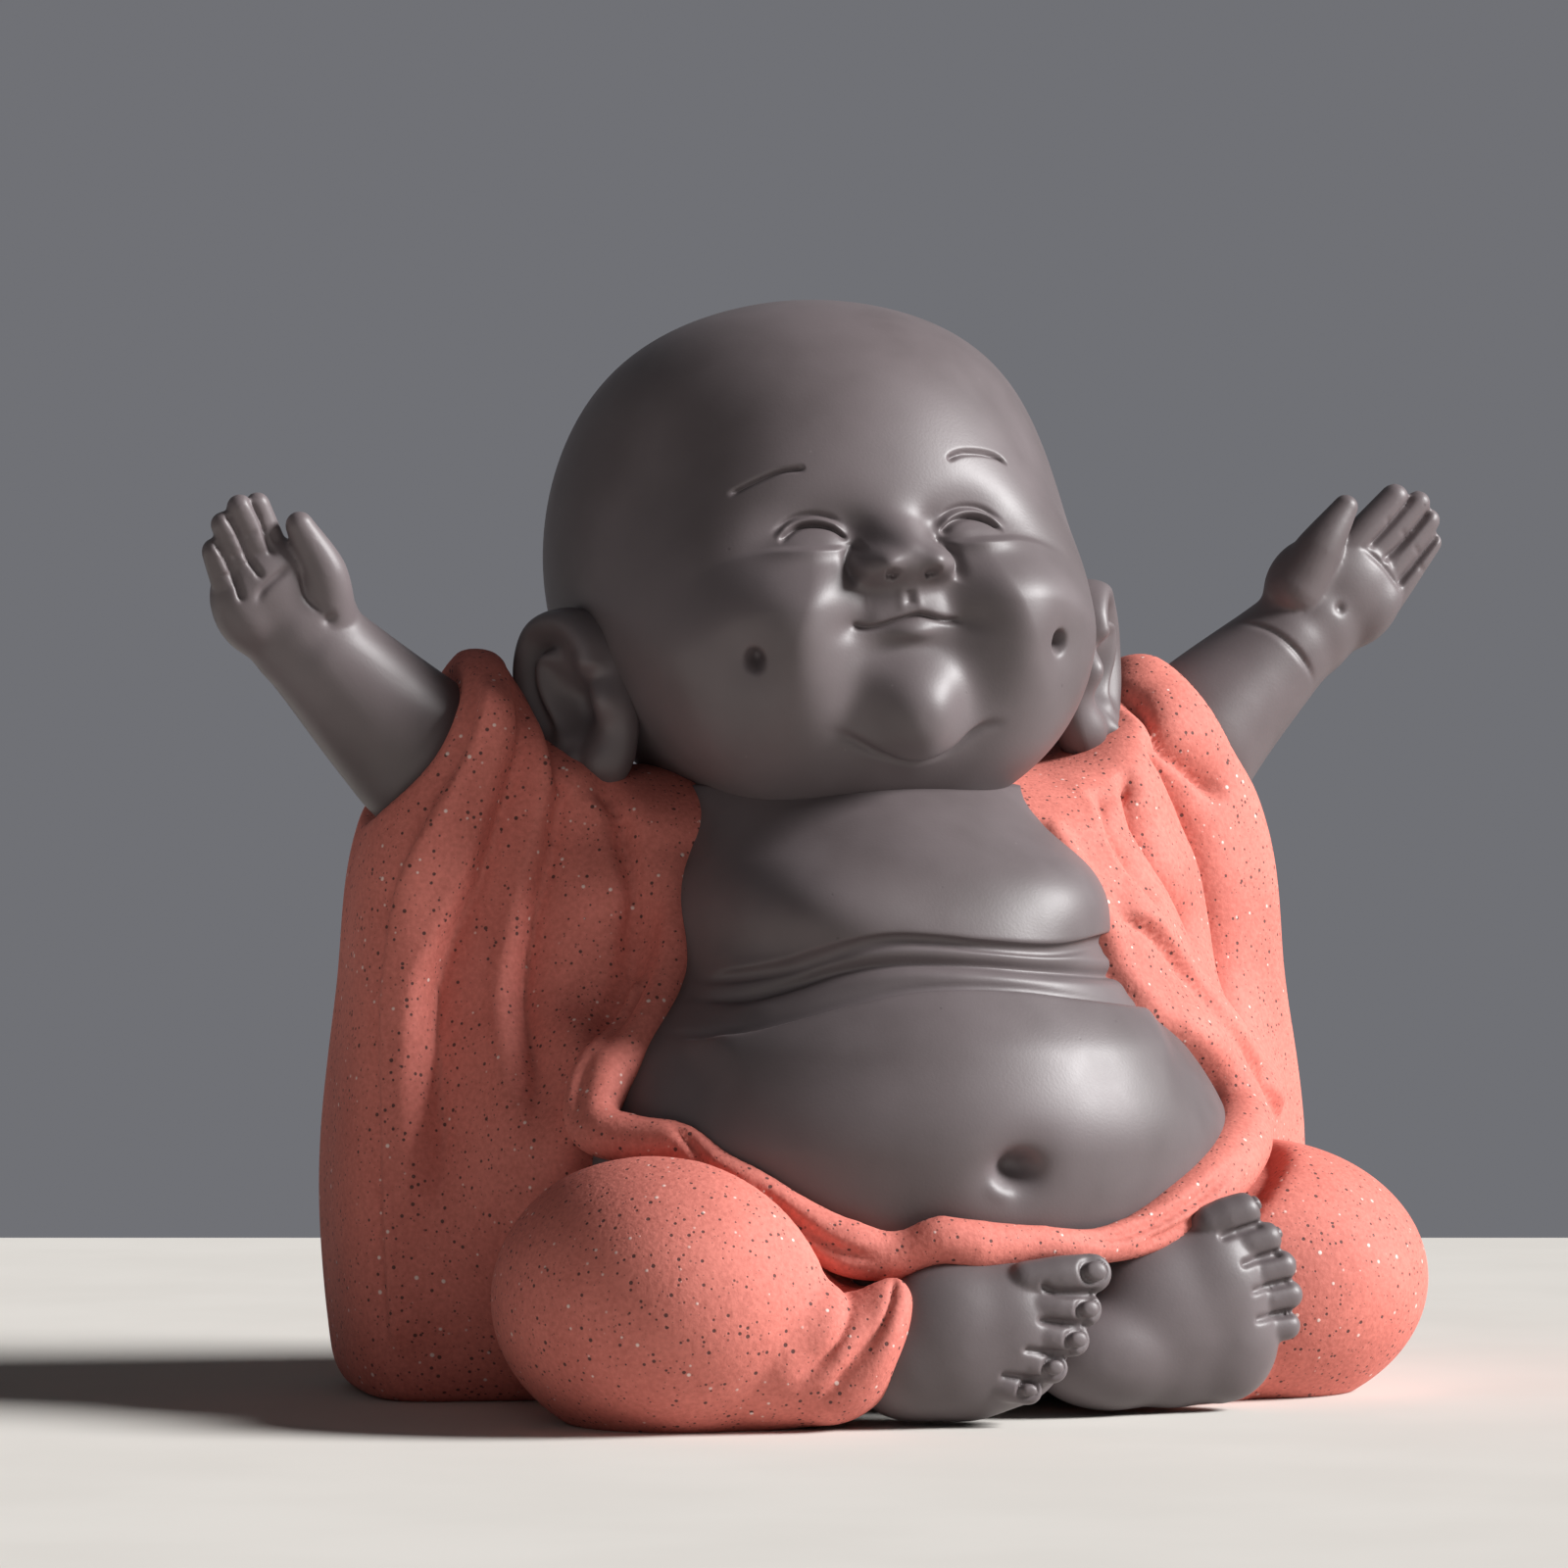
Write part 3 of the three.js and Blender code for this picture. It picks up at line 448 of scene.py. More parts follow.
torso = dict(
    halfWidth=[(0, 26), (9.6, 31.5), (24, 33.6), (33, 29.2), (40, 22.8), (50, 19.6), (58, 17)],
    front=[(0, 33), (9.6, 44.9), (24, 50.5), (33, 48.2), (40, 42.0), (50, 38.0), (58, 27)],
    back=[(0, 15), (24, 15), (50, 10.5), (58, 6)],
    segments=320, rings=240, levels=[(0, 0), (0.06, 0), (0.42, 34), (0.78, 48), (0.94, 58), (1, 58)],
    closing=[(0, 0), (0.06, 1), (0.94, 1), (1, 0)], middle=(0, -10.0),
    frontFocus=0.38, frontFrom=(2, 14))
chestEdge = [(-21.5, 39.4), (-16.2, 40.5), (-13.3, 41.5), (-9.4, 43.0), (-6.9, 43.5), (-3.4, 43.4),
             (0.3, 43.0), (7.9, 42.4), (14.3, 43.0), (20, 43.4)]
rollEdge = [(-23, 37.9), (-19.3, 38.3), (-15.8, 39.3), (-12.4, 40.4), (-8.8, 41.2), (-5.4, 41.5),
            (0, 41.3), (6.9, 40.7), (15.6, 40.1), (21, 40)]
bellyEdge = [(-26, 34.6), (-21.4, 35.1), (-17.4, 36.2), (-13.3, 37.4), (-7.8, 38.7), (-2.5, 39.1),
             (3.4, 38.8), (8.8, 38.1), (16.3, 37.2), (22, 36.6)]
torsoForms = [
    (ball, (-14.0, 46.2), (6.4, 4.6), 3.2), (ball, (12.5, 47.4), (8.0, 4.4), 1.9),   # breasts
    (shelf, chestEdge, 0.45, 0.9, 4.0, 1, 0.08), (shelf, bellyEdge, 0.45, 1.0, 6.0, -1, 0.08)]
torsoLines = [
    (stroke, chestEdge, 0.4, -0.55, 0.06), (stroke, bellyEdge, 0.4, -0.65, 0.06),
    (stroke, rollEdge, 0.36, -0.55, 0.1),
    (stroke, shifted(rollEdge, 0, 1.1), 0.7, 0.4, 0.1),
    (stroke, shifted(rollEdge, 0, -1.2), 0.7, 0.4, 0.1),
    (ball, (-0.1, 22.9), (3.4, 2.8), -1.2), (ball, (0.1, 22.9), (1.9, 1.5), -1.9, 2.6),   # navel
    (stroke, [(-2.9, 22.3), (-1.9, 20.9), (0.3, 20.5)], 0.7, 0.22, 0.4)]
halfWidthAt = curveThrough(torso["halfWidth"])
frontAt = curveThrough(torso["front"])
backAt = curveThrough(torso["back"])


def torsoSkin(angle, height, offset=0.0):
    front, back = frontAt(height) + offset, backAt(height) + offset
    x = (halfWidthAt(height) + offset) * np.sin(angle)
    y = (back - front) / 2 - (front + back) / 2 * np.cos(angle)
    return np.stack([x, y, np.broadcast_to(height, x.shape)], -1)


def makeTorso():
    piece = sphere(torso["segments"], torso["rings"])
    points = pointsOf(piece)
    level = np.arcsin(np.clip(points[:, 2], -1, 1)) / math.pi + 0.5
    share = np.arctan2(points[:, 0], -points[:, 1]) / math.pi
    angle = math.pi * ((1 - torso["frontFocus"]) * share + torso["frontFocus"] * share**3)
    skin = torsoSkin(angle, np.interp(level, *zip(*torso["levels"])))
    closing = np.interp(level, *zip(*torso["closing"]))[:, None]
    skin[:, :2] = torso["middle"] + (skin[:, :2] - torso["middle"]) * closing
    setPoints(piece, skin)
    front = ease(-skin[:, 1], *torso["frontFrom"])
    flat = skin[:, [0, 2]]
    for marks in (torsoForms, torsoLines):
        press(piece, relief(flat, marks) * front)
    return layIn(piece, "torso_skin", darkClay, "dark_clay", "torso")


# head: u and v are millimetres along the skull, sideways and upwards from the middle of the face

head = dict(half=(25.6, 26.0, 25.4), centre=(-1.4, -3.0, 79.4), tilt=-14, lean=-3.5, turn=-3.8,
            arc=26.0, subdivisions=6, faceFrom=0.25,
            finer=[(22, -30, 6), (19, -27, 4.5), (15, -16.5, 3.5)])   # u reach, lowest and highest v
headTurn = turnAbout("Z", head["turn"]) @ turnAbout("Y", head["lean"]) @ turnAbout("X", head["tilt"])
headCentre = np.array(head["centre"])
headHalf = np.array(head["half"])

bigForms = [  # u, v, reach, rise, on both sides
    (19.0, -12.0, 11.0, 4.2, True),   # cheeks
    (15.0, -21.0, 10.0, 4.8, True),   # jowls
    (0, -30.0, 11.0, 4.0, False),     # under the chin
    (24, 4.0, 10.0, -1.3, True),      # temples
    (31, 19.0, 11.0, 1.1, True),      # sides of the crown
    (50, 18.0, 12.0, 0.4, True),
]
ledgeAt = curveThrough([(0, -5.2), (5.5, -5.4), (9.0, -5.1), (12.5, -4.8), (16.0, -5.3), (24.0, -8.0),
                        (40.0, -12.0)])
cheek = dict(inner=2.6, innerDrift=0.3, blend=5.6, blendDrift=0.4, outer=9, outerReach=10,
             dropFrom=-8.5, dropSoft=1.5, dropReach=5.5, fullness=2.5, fullOver=(-0.8, 5.0),
             ledge=0.9, ledgeOver=(-0.3, 0.35), ledgeOuter=8, ledgeReach=6)
brows = ([(-15.4, 1.2), (-12.0, 2.3), (-9.9, 2.75), (-7.7, 2.7)],
         [(6.4, 2.7), (8.3, 3.5), (10.7, 3.75), (13.0, 3.6), (14.6, 2.9)])
mouth = [(-6.0, -11.9), (-4.0, -12.35), (-1.8, -12.0), (0.3, -11.6), (1.3, -11.6), (3.4, -12.1),
         (5.6, -12.2)]
jaw = [(-9.5, -19.2), (-7.8, -19.8), (-5.0, -21.2), (-1.9, -22.2), (0.8, -22.5), (4.0, -21.9),
       (6.4, -20.6), (8.2, -19.7), (10.6, -19.3)]
sideMarks = [
    (ball, (7.8, -3.6), (5.0, 3.2), -1.3), (ball, (4.2, -4.2), (1.7, 1.8), -0.7),   # eye sockets
    (ball, (7.8, -4.7), (3.6, 1.5), 1.3, 2.6),
    (stroke, [(4.7, -4.8), (6.1, -3.55), (7.8, -3.0), (9.5, -3.15), (11.2, -4.3)], 0.26, -0.7, 0.12),
    (stroke, [(4.6, -4.2), (6.0, -3.0), (7.8, -2.4), (9.7, -2.6), (11.6, -3.9)], 0.36, 0.42, 0.2),
    (stroke, [(4.8, -3.4), (6.0, -2.4), (7.8, -1.85), (9.9, -2.1), (12.0, -3.5)], 0.28, -0.3, 0.25),
    (ball, (3.1, -7.2), (1.8, 1.6), 2.5, 2.5),   # wings of the nose and their nostrils
    (stroke, [(3.2, -5.2), (4.8, -5.9), (5.2, -7.4), (4.6, -9.0)], 0.6, -0.9, 0.25),
    (stroke, [(1.2, -8.45), (1.8, -8.05), (2.5, -8.2)], 0.34, -0.9, 0.3),
    (stroke, [(0.75, -9.6), (0.85, -10.7)], 0.42, 0.08, 0),   # ridge of the lip and corner of the mouth
    (ball, (5.9, -12.1), (1.4, 1.0), -0.45),
    (ball, (9.4, -14.4), (4.4, 4.6), 1.2),   # rolls beside the chin
    (ball, (6.2, -17.4), (2.4, 3.0), -0.3),
    (ball, (14.3, -12.9), (2.4, 2.3), -0.7), (ball, (14.3, -12.9), (0.75, 0.75), -1.7, 3.0)]   # dimples
middleMarks = [
    *((stroke, brow, 0.26, -0.6, 0.12) for brow in brows),
    (ball, (0, -6.6), (2.9, 2.4), 3.7, 2.4), (ball, (0, -4.2), (2.4, 2.2), 0.6),   # nose
    (stroke, [(0, -9.4), (0, -10.8)], 0.45, -0.22, 0.25),
    (ball, (0, -10.8), (5.0, 2.8), 1.3),   # mouth
    (shelf, mouth, 0.2, 0.55, 2.0, 1, 0.3), (stroke, mouth, 0.28, -0.5, 0.1),
    (ball, (0.3, -12.9), (2.5, 0.9), 0.9), (ball, (0, -14.5), (4.0, 1.3), -0.6),   # under the lip
    (ball, (0.2, -18.4), (4.5, 3.7), 4.0, 2.3),   # chin
    (shelf, jaw, 0.35, 0.7, 2.2, 1, 0.35), (stroke, jaw, 0.42, -0.65, 0.25)]


def onSkull(u, v):
    az, el = u / head["arc"], v / head["arc"]
    way = np.array([math.sin(az) * math.cos(el), -math.cos(az) * math.cos(el), math.sin(el)])
    return way * headHalf


def onFace(way):
    u = np.arctan2(way[:, 0], -way[:, 1])
    v = np.arctan2(way[:, 2], np.hypot(way[:, 0], way[:, 1]))
    return head["arc"] * np.stack([u, v], 1)


# A cheek is round and full beside the nose and the mouth, with a ledge under the eye.
def cheekRelief(u, v):
    drop = cheek["dropSoft"] * np.logaddexp(0, (cheek["dropFrom"] - v) / cheek["dropSoft"])
    inner = cheek["inner"] + cheek["innerDrift"] * drop
    full = ease((u - inner) / (cheek["blend"] + cheek["blendDrift"] * drop), 0, 1)
    full *= bell(u - cheek["outer"], cheek["outerReach"]) * bell(drop, cheek["dropReach"])
    below = ledgeAt(u) - v
    ledge = cheek["ledge"] * ease(below, *cheek["ledgeOver"])
    ledge *= bell(u - cheek["ledgeOuter"], cheek["ledgeReach"])
    return full * (ledge + cheek["fullness"] * ease(below, *cheek["fullOver"]))


def headRelief(way):
    base = way * headHalf
    rise = np.zeros(len(way))
    for u, v, reach, height, both in bigForms:
        for side in (left, right) if both else (left,):
            rise += height * bell(np.linalg.norm(base - onSkull(side * u, v), axis=1), reach)
    face = way[:, 1] < head["faceFrom"]
    at = onFace(way[face])
    rise[face] += relief(at, middleMarks)
    for side in (left, right):
        rise[face] += cheekRelief(side * at[:, 0], at[:, 1]) + relief(at, sideMarks, side)
    return base + way * rise[:, None]


def subdivideWhere(piece, chosen):
    bpy.ops.object.mode_set(mode="EDIT")
    bpy.ops.mesh.select_mode(type="FACE")
    bpy.ops.mesh.select_all(action="DESELECT")
    bpy.ops.object.mode_set(mode="OBJECT")
    piece.data.polygons.foreach_set("select", chosen)
    bpy.ops.object.mode_set(mode="EDIT")
    bpy.ops.mesh.subdivide(number_cuts=1)
    bpy.ops.object.mode_set(mode="OBJECT")


def makeHead():
    deselect()
    bpy.ops.mesh.primitive_ico_sphere_add(subdivisions=head["subdivisions"], radius=1)
    piece = bpy.context.object
    for reach, low, high in head["finer"]:
        u, v = onFace(vectorsOf(piece.data.polygons, "center")).T
        subdivideWhere(piece, (np.abs(u) < reach) & (v > low) & (v < high))
        setPoints(piece, unit(pointsOf(piece)))
    setPoints(piece, headRelief(pointsOf(piece)) @ headTurn.T + headCentre)
    return layIn(piece, "head_skin", darkClay, "dark_clay", "head")


# ears: their marks are placed forwards and upwards on the ear's own face

ear = dict(out=25.0, back=-3.0, drop=13.0, flare=30, lean=10, half=(3.1, 5.9, 8.9),
           segments=160, rings=110, widening=0.018, facing=(-0.6, 1.2))
earMarks = [
    (stroke, [(3.2, 1.0), (3.7, 4.2), (1.6, 7.0), (-2.2, 7.2), (-4.6, 3.6), (-4.4, -1.0), (-2.6, -4.6),
              (-0.6, -6.4)], 1.25, 1.7, 0.06),   # rim
    (ball, (0.4, -0.6), (2.6, 3.2), -3.1, 2.6),
    (stroke, [(1.2, 4.6), (-1.6, 4.4), (-2.4, 1.0), (-1.8, -2.6), (0.2, -4.4)], 0.8, 0.9, 0.2),
    (stroke, [(1.8, 5.4), (-1.6, 5.7), (-3.4, 2.8), (-3.2, -1.2), (-2.0, -3.8)], 0.7, -0.8, 0.2),
    (ball, (3.6, -1.2), (1.5, 1.9), 1.6), (ball, (0.6, -6.6), (2.6, 2.2), 1.0)]   # flap and lobe


def makeEar(side, name, node):
    piece = sphere(ear["segments"], ear["rings"])
    points = pointsOf(piece) * np.array(ear["half"])
    points[:, 1] *= 1 + ear["widening"] * points[:, 2]   # wider above than at the lobe
    setPoints(piece, points)
    at = points[:, [1, 2]] * np.array([-1, 1])
    press(piece, relief(at, earMarks) * ease(points[:, 0], *ear["facing"]))
    points = pointsOf(piece) * np.array([side, 1, 1])
    points = points @ turnAbout("Z", -side * ear["flare"]).T @ turnAbout("Y", side * ear["lean"]).T
    points = points + np.array([side * ear["out"], ear["back"], -ear["drop"]])
    setPoints(piece, points @ headTurn.T + headCentre)
    if side == right:
        inEditMode(bpy.ops.mesh.flip_normals)
    return layIn(piece, name, darkClay, "dark_clay", node)


# arms

arms = {
    right: dict(
        name="right_arm_skin", node="right_arm",
        bar=[(-19, -3.5, 50), (-31, -1.5, 53), (-42.2, -1.5, 62.5), (-50.6, -2.5, 70.0)],
        radii=[6, 7.4, 7.4, 5.5], lean=-36, tilt=14,
        pads=[  # heel of the hand, palm, ball of the thumb, outer edge
            ((-52.9, -3.0, 72.0), (5.3, 4.4, 6.0)), ((-56.2, -3.8, 75.4), (5.9, 3.5, 6.4)),
            ((-51.4, -4.6, 75.0), (3.0, 3.0, 4.6)), ((-58.8, -4.0, 74.0), (2.9, 3.0, 4.8))],
        fingers=[  # root, tip, radius
            ((-54.9, -4.2, 77.0), (-58.1, -5.6, 84.2), 1.35),
            ((-55.7, -4.6, 76.0), (-60.1, -6.5, 83.8), 1.5),
            ((-57.0, -4.4, 74.6), (-61.6, -6.2, 82.2), 1.45),
            ((-59.0, -4.0, 72.6), (-62.2, -5.6, 79.7), 1.55)],
        thumb=[(-50.8, -4.8, 73.4), (-51.9, -6.4, 77.8), (-54.5, -7.2, 82.2)],
        thumbRadii=[2.7, 2.25, 1.35],
        grooves=[[(-59.6, 85.0), (-58.4, 83.0), (-57.6, 81.0), (-56.9, 79.2)],
                 [(-61.8, 83.4), (-60.6, 81.6), (-59.4, 79.2), (-58.0, 77.0)],
                 [(-62.7, 80.8), (-61.4, 78.8), (-60.5, 77.0), (-59.9, 74.8)]],
        lines=[[(-58.7, 74.6), (-58.0, 76.2), (-56.0, 78.0), (-55.3, 78.6)],
               [(-54.4, 78.6), (-54.1, 76.9), (-53.6, 75.4), (-51.8, 73.8)]],
        knuckles=[[(-57.4, 82.0), (-58.2, 81.6)], [(-58.6, 81.6), (-59.9, 81.0)],
                  [(-59.9, 79.7), (-61.0, 79.0)], [(-60.9, 77.6), (-62.4, 77.2)]],
        dimple=(-51.6, 73.5)),
    left: dict(
        name="left_arm_skin", node="left_arm",
        bar=[(19, -3.5, 50), (31, -1.5, 53), (42.0, -1.5, 64.0), (50.4, -1.8, 71.6)],
        radii=[6, 7.4, 7.4, 5.3], lean=40, tilt=4,
        pads=[((53.2, -2.2, 73.6), (5.0, 4.4, 6.0)), ((56.6, -2.6, 77.0), (5.6, 3.5, 6.6)),
              ((51.6, -3.4, 78.8), (3.2, 3.0, 4.6)), ((59.6, -2.8, 75.4), (2.7, 3.0, 4.6))],
        fingers=[
            ((55.4, -3.2, 79.8), (62.1, -3.6, 86.8), 1.7),
            ((57.4, -3.0, 78.8), (64.8, -3.5, 86.3), 1.5),
            ((59.4, -2.8, 77.0), (66.1, -3.2, 84.6), 1.45),
            ((61.0, -2.5, 75.0), (66.6, -2.9, 82.4), 1.3)],
        thumb=[(50.8, -3.8, 77.4), (53.4, -4.8, 82.0), (55.9, -5.0, 85.7)],
        thumbRadii=[3.0, 2.35, 1.3],
        grooves=[[(63.9, 87.1), (61.1, 84.0), (58.5, 81.6)], [(66.1, 85.8), (62.6, 82.0), (60.0, 80.2)],
                 [(67.2, 83.4), (64.4, 80.2), (62.0, 77.7)]],
        lines=[[(57.4, 81.9), (59.6, 80.3), (61.8, 78.1), (62.6, 76.5)],
               [(43.1, 74.6), (45.4, 74.0), (47.5, 73.0), (50.0, 70.6), (52.4, 67.6)]],
        knuckles=[[(60.4, 84.8), (61.2, 84.0)], [(62.2, 83.6), (63.4, 82.6)],
                  [(63.8, 82.0), (65.0, 81.0)], [(64.6, 80.0), (65.8, 79.2)]],
        dimple=(54.7, 75.5)),
}
bodyVoxel, fingerVoxel = 0.45, 0.22
fingerTaper = (1.1, 1, 0.86)
armTools = dict(palmRubs=24, fingerRubs=6, lastRubs=2, dimple=((0.5, 0.5), 0.4),
                grooves=(0.27, 0.6, 0.12), lines=(0.34, 0.4, 0.3), knuckles=(0.25, 0.15, 0.3))
frontFacing = (0.0, 0.5)   # from where to where a normal counts as facing front


def makeArm(side):
    settings = arms[side]
    turn = turnAbout("X", settings["tilt"]) @ turnAbout("Y", settings["lean"])
    parts = [rolled(settings["bar"], settings["radii"], 40, 60)]
    parts += [lump(centre, half, turn) for centre, half in settings["pads"]]
    # arm and palm are rubbed smooth before the fingers go on
    parts = [work(parts, bodyVoxel, armTools["palmRubs"])]
    for root, tip, radius in settings["fingers"]:
        parts.append(rolled([root, tip], [radius * share for share in fingerTaper], 20, 28))
    parts.append(rolled(settings["thumb"], settings["thumbRadii"], 24, 32))
    piece = work(parts, fingerVoxel, armTools["fingerRubs"])
    points = pointsOf(piece)
    flat = points[:, [0, 2]]
    facing = ease(-normalsOf(piece)[:, 1], *frontFacing)
    behind = ease(normalsOf(piece)[:, 1], *frontFacing)
    grooves = [(stroke, line, *armTools["grooves"]) for line in settings["grooves"]]
    marks = [(stroke, line, *armTools[kind])
             for kind in ("lines", "knuckles") for line in settings[kind]]
    marks.append((ball, settings["dimple"], *armTools["dimple"]))
    points[:, 1] += relief(flat, grooves) * (facing - behind) + relief(flat, marks) * facing
    setPoints(piece, points)
    rub(piece, armTools["lastRubs"])
    return layIn(piece, settings["name"], darkClay, "dark_clay", settings["node"])


# feet

feet = {
    right: dict(
        name="right_foot_skin", node="right_foot",
        lumps=[((-5.5, -49.5, 7.8), (8.9, 5.6, 7.7)), ((-9.5, -48.5, 6.2), (6.8, 5.6, 6.0)),
               ((-1.4, -50.6, 8.2), (6.2, 4.9, 6.9))],
        web=((0.6, -52.6, 9.1), (3.6, 1.9, 6.4), 23),
        toes=[((-0.6, -52.7, 13.2), (5.7, -53.5, 13.7), 1.95),
              ((-0.6, -53.2, 10.8), (4.7, -54.1, 10.5), 1.72),
              ((-1.4, -53.4, 8.4), (3.5, -54.3, 7.8), 1.62),
              ((-2.8, -53.2, 6.1), (1.6, -54.0, 5.3), 1.5),
              ((-4.4, -52.8, 4.1), (-0.6, -53.5, 3.3), 1.4)],
        grooves=[[(0.0, 13.2), (1.6, 12.2), (6.2, 12.0)], [(-0.6, 9.8), (5.2, 9.1)],
                 [(-2.1, 7.2), (3.6, 6.4)], [(-4.0, 4.9), (1.2, 4.2)]],
        nails=[((5.5, -55.3, 14.1), (1.2, 1.05)), ((4.7, -55.7, 10.7), (1.05, 0.9)),
               ((3.5, -55.8, 8.0), (1.0, 0.85)), ((1.4, -55.4, 5.5), (0.95, 0.8)),
               ((-0.9, -54.8, 3.5), (0.85, 0.7))],
        facing=(0.25, -1, 0.15)),
    left: dict(
        name="left_foot_skin", node="left_foot",
        lumps=[((17.5, -45.3, 8.6), (8.9, 4.9, 8.5)), ((21.4, -45.8, 10.8), (5.9, 4.5, 7.7)),
               ((11.4, -45.4, 5.6), (8.4, 5.0, 5.4)), ((22.6, -45.4, 6.8), (5.8, 4.6, 6.4))],
        web=((23.9, -46.4, 12.6), (2.6, 1.9, 6.2), -20),
        toes=[((20.6, -46.8, 17.4), (23.9, -47.2, 18.5), 1.9),
              ((22.5, -47.3, 15.0), (26.1, -47.6, 16.0), 1.65),
              ((23.5, -47.5, 12.4), (27.6, -47.7, 13.4), 1.6),
              ((24.0, -47.3, 9.9), (28.5, -47.4, 10.7), 1.5),
              ((24.2, -46.9, 7.4), (28.5, -47.0, 7.8), 1.45)],
        grooves=[[(20.6, 16.2), (25.6, 17.5)], [(22.4, 13.7), (27.6, 14.8)],
                 [(23.4, 11.2), (28.7, 12.1)], [(23.8, 8.6), (29.2, 9.2)]],
        nails=[((25.4, -47.2, 19.3), (0.95, 0.85)), ((27.5, -47.4, 16.5), (0.85, 0.75)),
               ((29.0, -47.2, 13.8), (0.8, 0.7)), ((29.8, -46.7, 11.0), (0.8, 0.7)),
               ((29.8, -45.8, 7.9), (0.75, 0.65))],
        facing=(0.85, -0.35, 0.3)),
}
toeTaper = (0.9, 1, 0.95)
footTools = dict(soleRubs=60, toeRubs=9, grooves=(0.32, -0.5, 0.15))
nail = dict(rise=0.16, groove=0.5, rim=1.12, rimWidth=0.22, depth=2.4, leastFacing=0.1)


def nailRelief(points, normals, settings):
    facing = unit(settings["facing"])
    along = unit(np.cross((0, 0, 1), facing))
    across = np.cross(facing, along)
    h = np.zeros(len(points))
    for centre, (long, wide) in settings["nails"]:
        off = points - np.asarray(centre)
        gap = np.hypot(off @ along / long, off @ across / wide)
        near = (np.abs(off @ facing) < nail["depth"]) & (normals @ facing > nail["leastFacing"])
        groove = nail["groove"] * np.exp(-((gap - nail["rim"]) / nail["rimWidth"]) ** 2)
        h += np.where(near, nail["rise"] * np.exp(-gap**6) - groove, 0)
    return h


def makeFoot(side):
    settings = feet[side]
    centre, half, lean = settings["web"]
    foot = work([lump(*shape) for shape in settings["lumps"]], bodyVoxel, footTools["soleRubs"])
    parts = [foot, lump(centre, half, turnAbout("Y", lean))]
    for root, tip, radius in settings["toes"]:
        parts.append(rolled([root, tip], [radius * share for share in toeTaper], 20, 28))
    piece = work(parts, fingerVoxel, footTools["toeRubs"])
    points, normals = pointsOf(piece), normalsOf(piece)
    grooves = [(stroke, line, *footTools["grooves"]) for line in settings["grooves"]]
    h = relief(points[:, [0, 2]], grooves) * ease(-normals[:, 1], *frontFacing)
    press(piece, h + nailRelief(points, normals, settings))
    return layIn(piece, settings["name"], darkClay, "dark_clay", settings["node"])


# rolled edge of the robe from the right lapel round the belly to the left lapel: x, y, z, radius

hem = [
    (-20.0, -13.0, 55.5, 1.5), (-21.8, -19.0, 45.0, 2.1), (-23.2, -20.8, 40.6, 2.3),
    (-28.6, -24.5, 33.4, 2.5), (-32.0, -27.0, 30.2, 2.9), (-33.6, -30.2, 26.8, 3.2),
    (-31.0, -33.4, 25.6, 2.8), (-27.7, -37.0, 25.3, 2.4), (-25.6, -39.7, 23.2, 1.9),
    (-23.2, -42.5, 21.5, 1.9), (-20.2, -45.0, 19.0, 2.2), (-16.2, -47.0, 16.4, 2.7),
    (-11.6, -48.4, 15.4, 2.1), (-8.0, -49.9, 16.8, 2.5), (-4.4, -50.2, 16.2, 1.8),
    (2.0, -50.0, 16.2, 1.7), (7.8, -49.2, 15.8, 2.0), (14.2, -46.8, 16.8, 2.7),
    (19.8, -43.8, 19.0, 3.0), (25.7, -39.0, 21.8, 3.2), (30.5, -33.0, 24.4, 3.3),
    (32.4, -28.5, 27.4, 3.0), (30.6, -28.4, 30.6, 2.2), (26.6, -30.0, 33.6, 1.9),
    (21.6, -32.2, 36.6, 1.8), (18.6, -31.2, 40.6, 1.8), (17.0, -31.0, 44.6, 1.8),
    (13.6, -27.6, 53.4, 1.4)]
hemLine = [point[:3] for point in hem]
hemRadii = [point[3] for point in hem]
hemWrinkles = [
    [(5.0, 16.9), (11.0, 17.0), (16.0, 18.4), (21.0, 20.4), (26.0, 22.8)],
    [(12.0, 15.6), (17.0, 17.0), (22.0, 19.2)],
    [(-24.4, 22.6), (-21.0, 19.0), (-17.4, 16.2), (-13.0, 15.0)],
    [(-29.4, 27.2), (-28.4, 26.6), (-27.5, 24.9), (-26.9, 23.4), (-25.6, 22.2), (-23.9, 21.0)]]


# How near each point is to a strand: 1 on it, falling to 0 over a soft distance.
def besideStrand(points, line, radii, soft):
    radii = np.interp(np.linspace(0, 1, len(line)), np.linspace(0, 1, len(radii)), radii)
    gap = np.min(np.linalg.norm(points[:, None, :] - line[None], axis=2) - radii[None], axis=1)
    return bell(gap, soft)


# trousers

legs = {
    right: dict(
        name="right_trouser_skin", node="right_trouser_leg",
        lumps=[((-28.6, -37.0, 11.2), (16.4, 17.6, 13.8), 0),   # knee, calf, cuff
               ((-18.5, -46.2, 8.0), (6.4, 5.2, 8.0), 15),
               ((-15.4, -49.4, 8.2), (3.6, 6.0, 7.8), 27)],
        calf=[(-30, -36, 9), (-23.5, -44.5, 8.2), (-18.4, -48.0, 7.4)], radii=[12.0, 9.8, 7.2],
        folds=[[(-12.6, 15.4), (-13.4, 13.2), (-15.4, 9.8), (-18.6, 5.2), (-21.8, 1.4)],
               [(-16.6, 15.4), (-17.4, 12.0), (-19.4, 8.4), (-23.4, 4.0)]]),
    left: dict(
        name="left_trouser_skin", node="left_trouser_leg",
        lumps=[((34.0, -27.0, 10.8), (17.8, 16.6, 13.4), 0)],
        calf=[(32, -28, 9), (22, -36, 8.2), (14, -39.5, 7.2)], radii=[11.5, 9.5, 7.0],
        folds=[]),
}
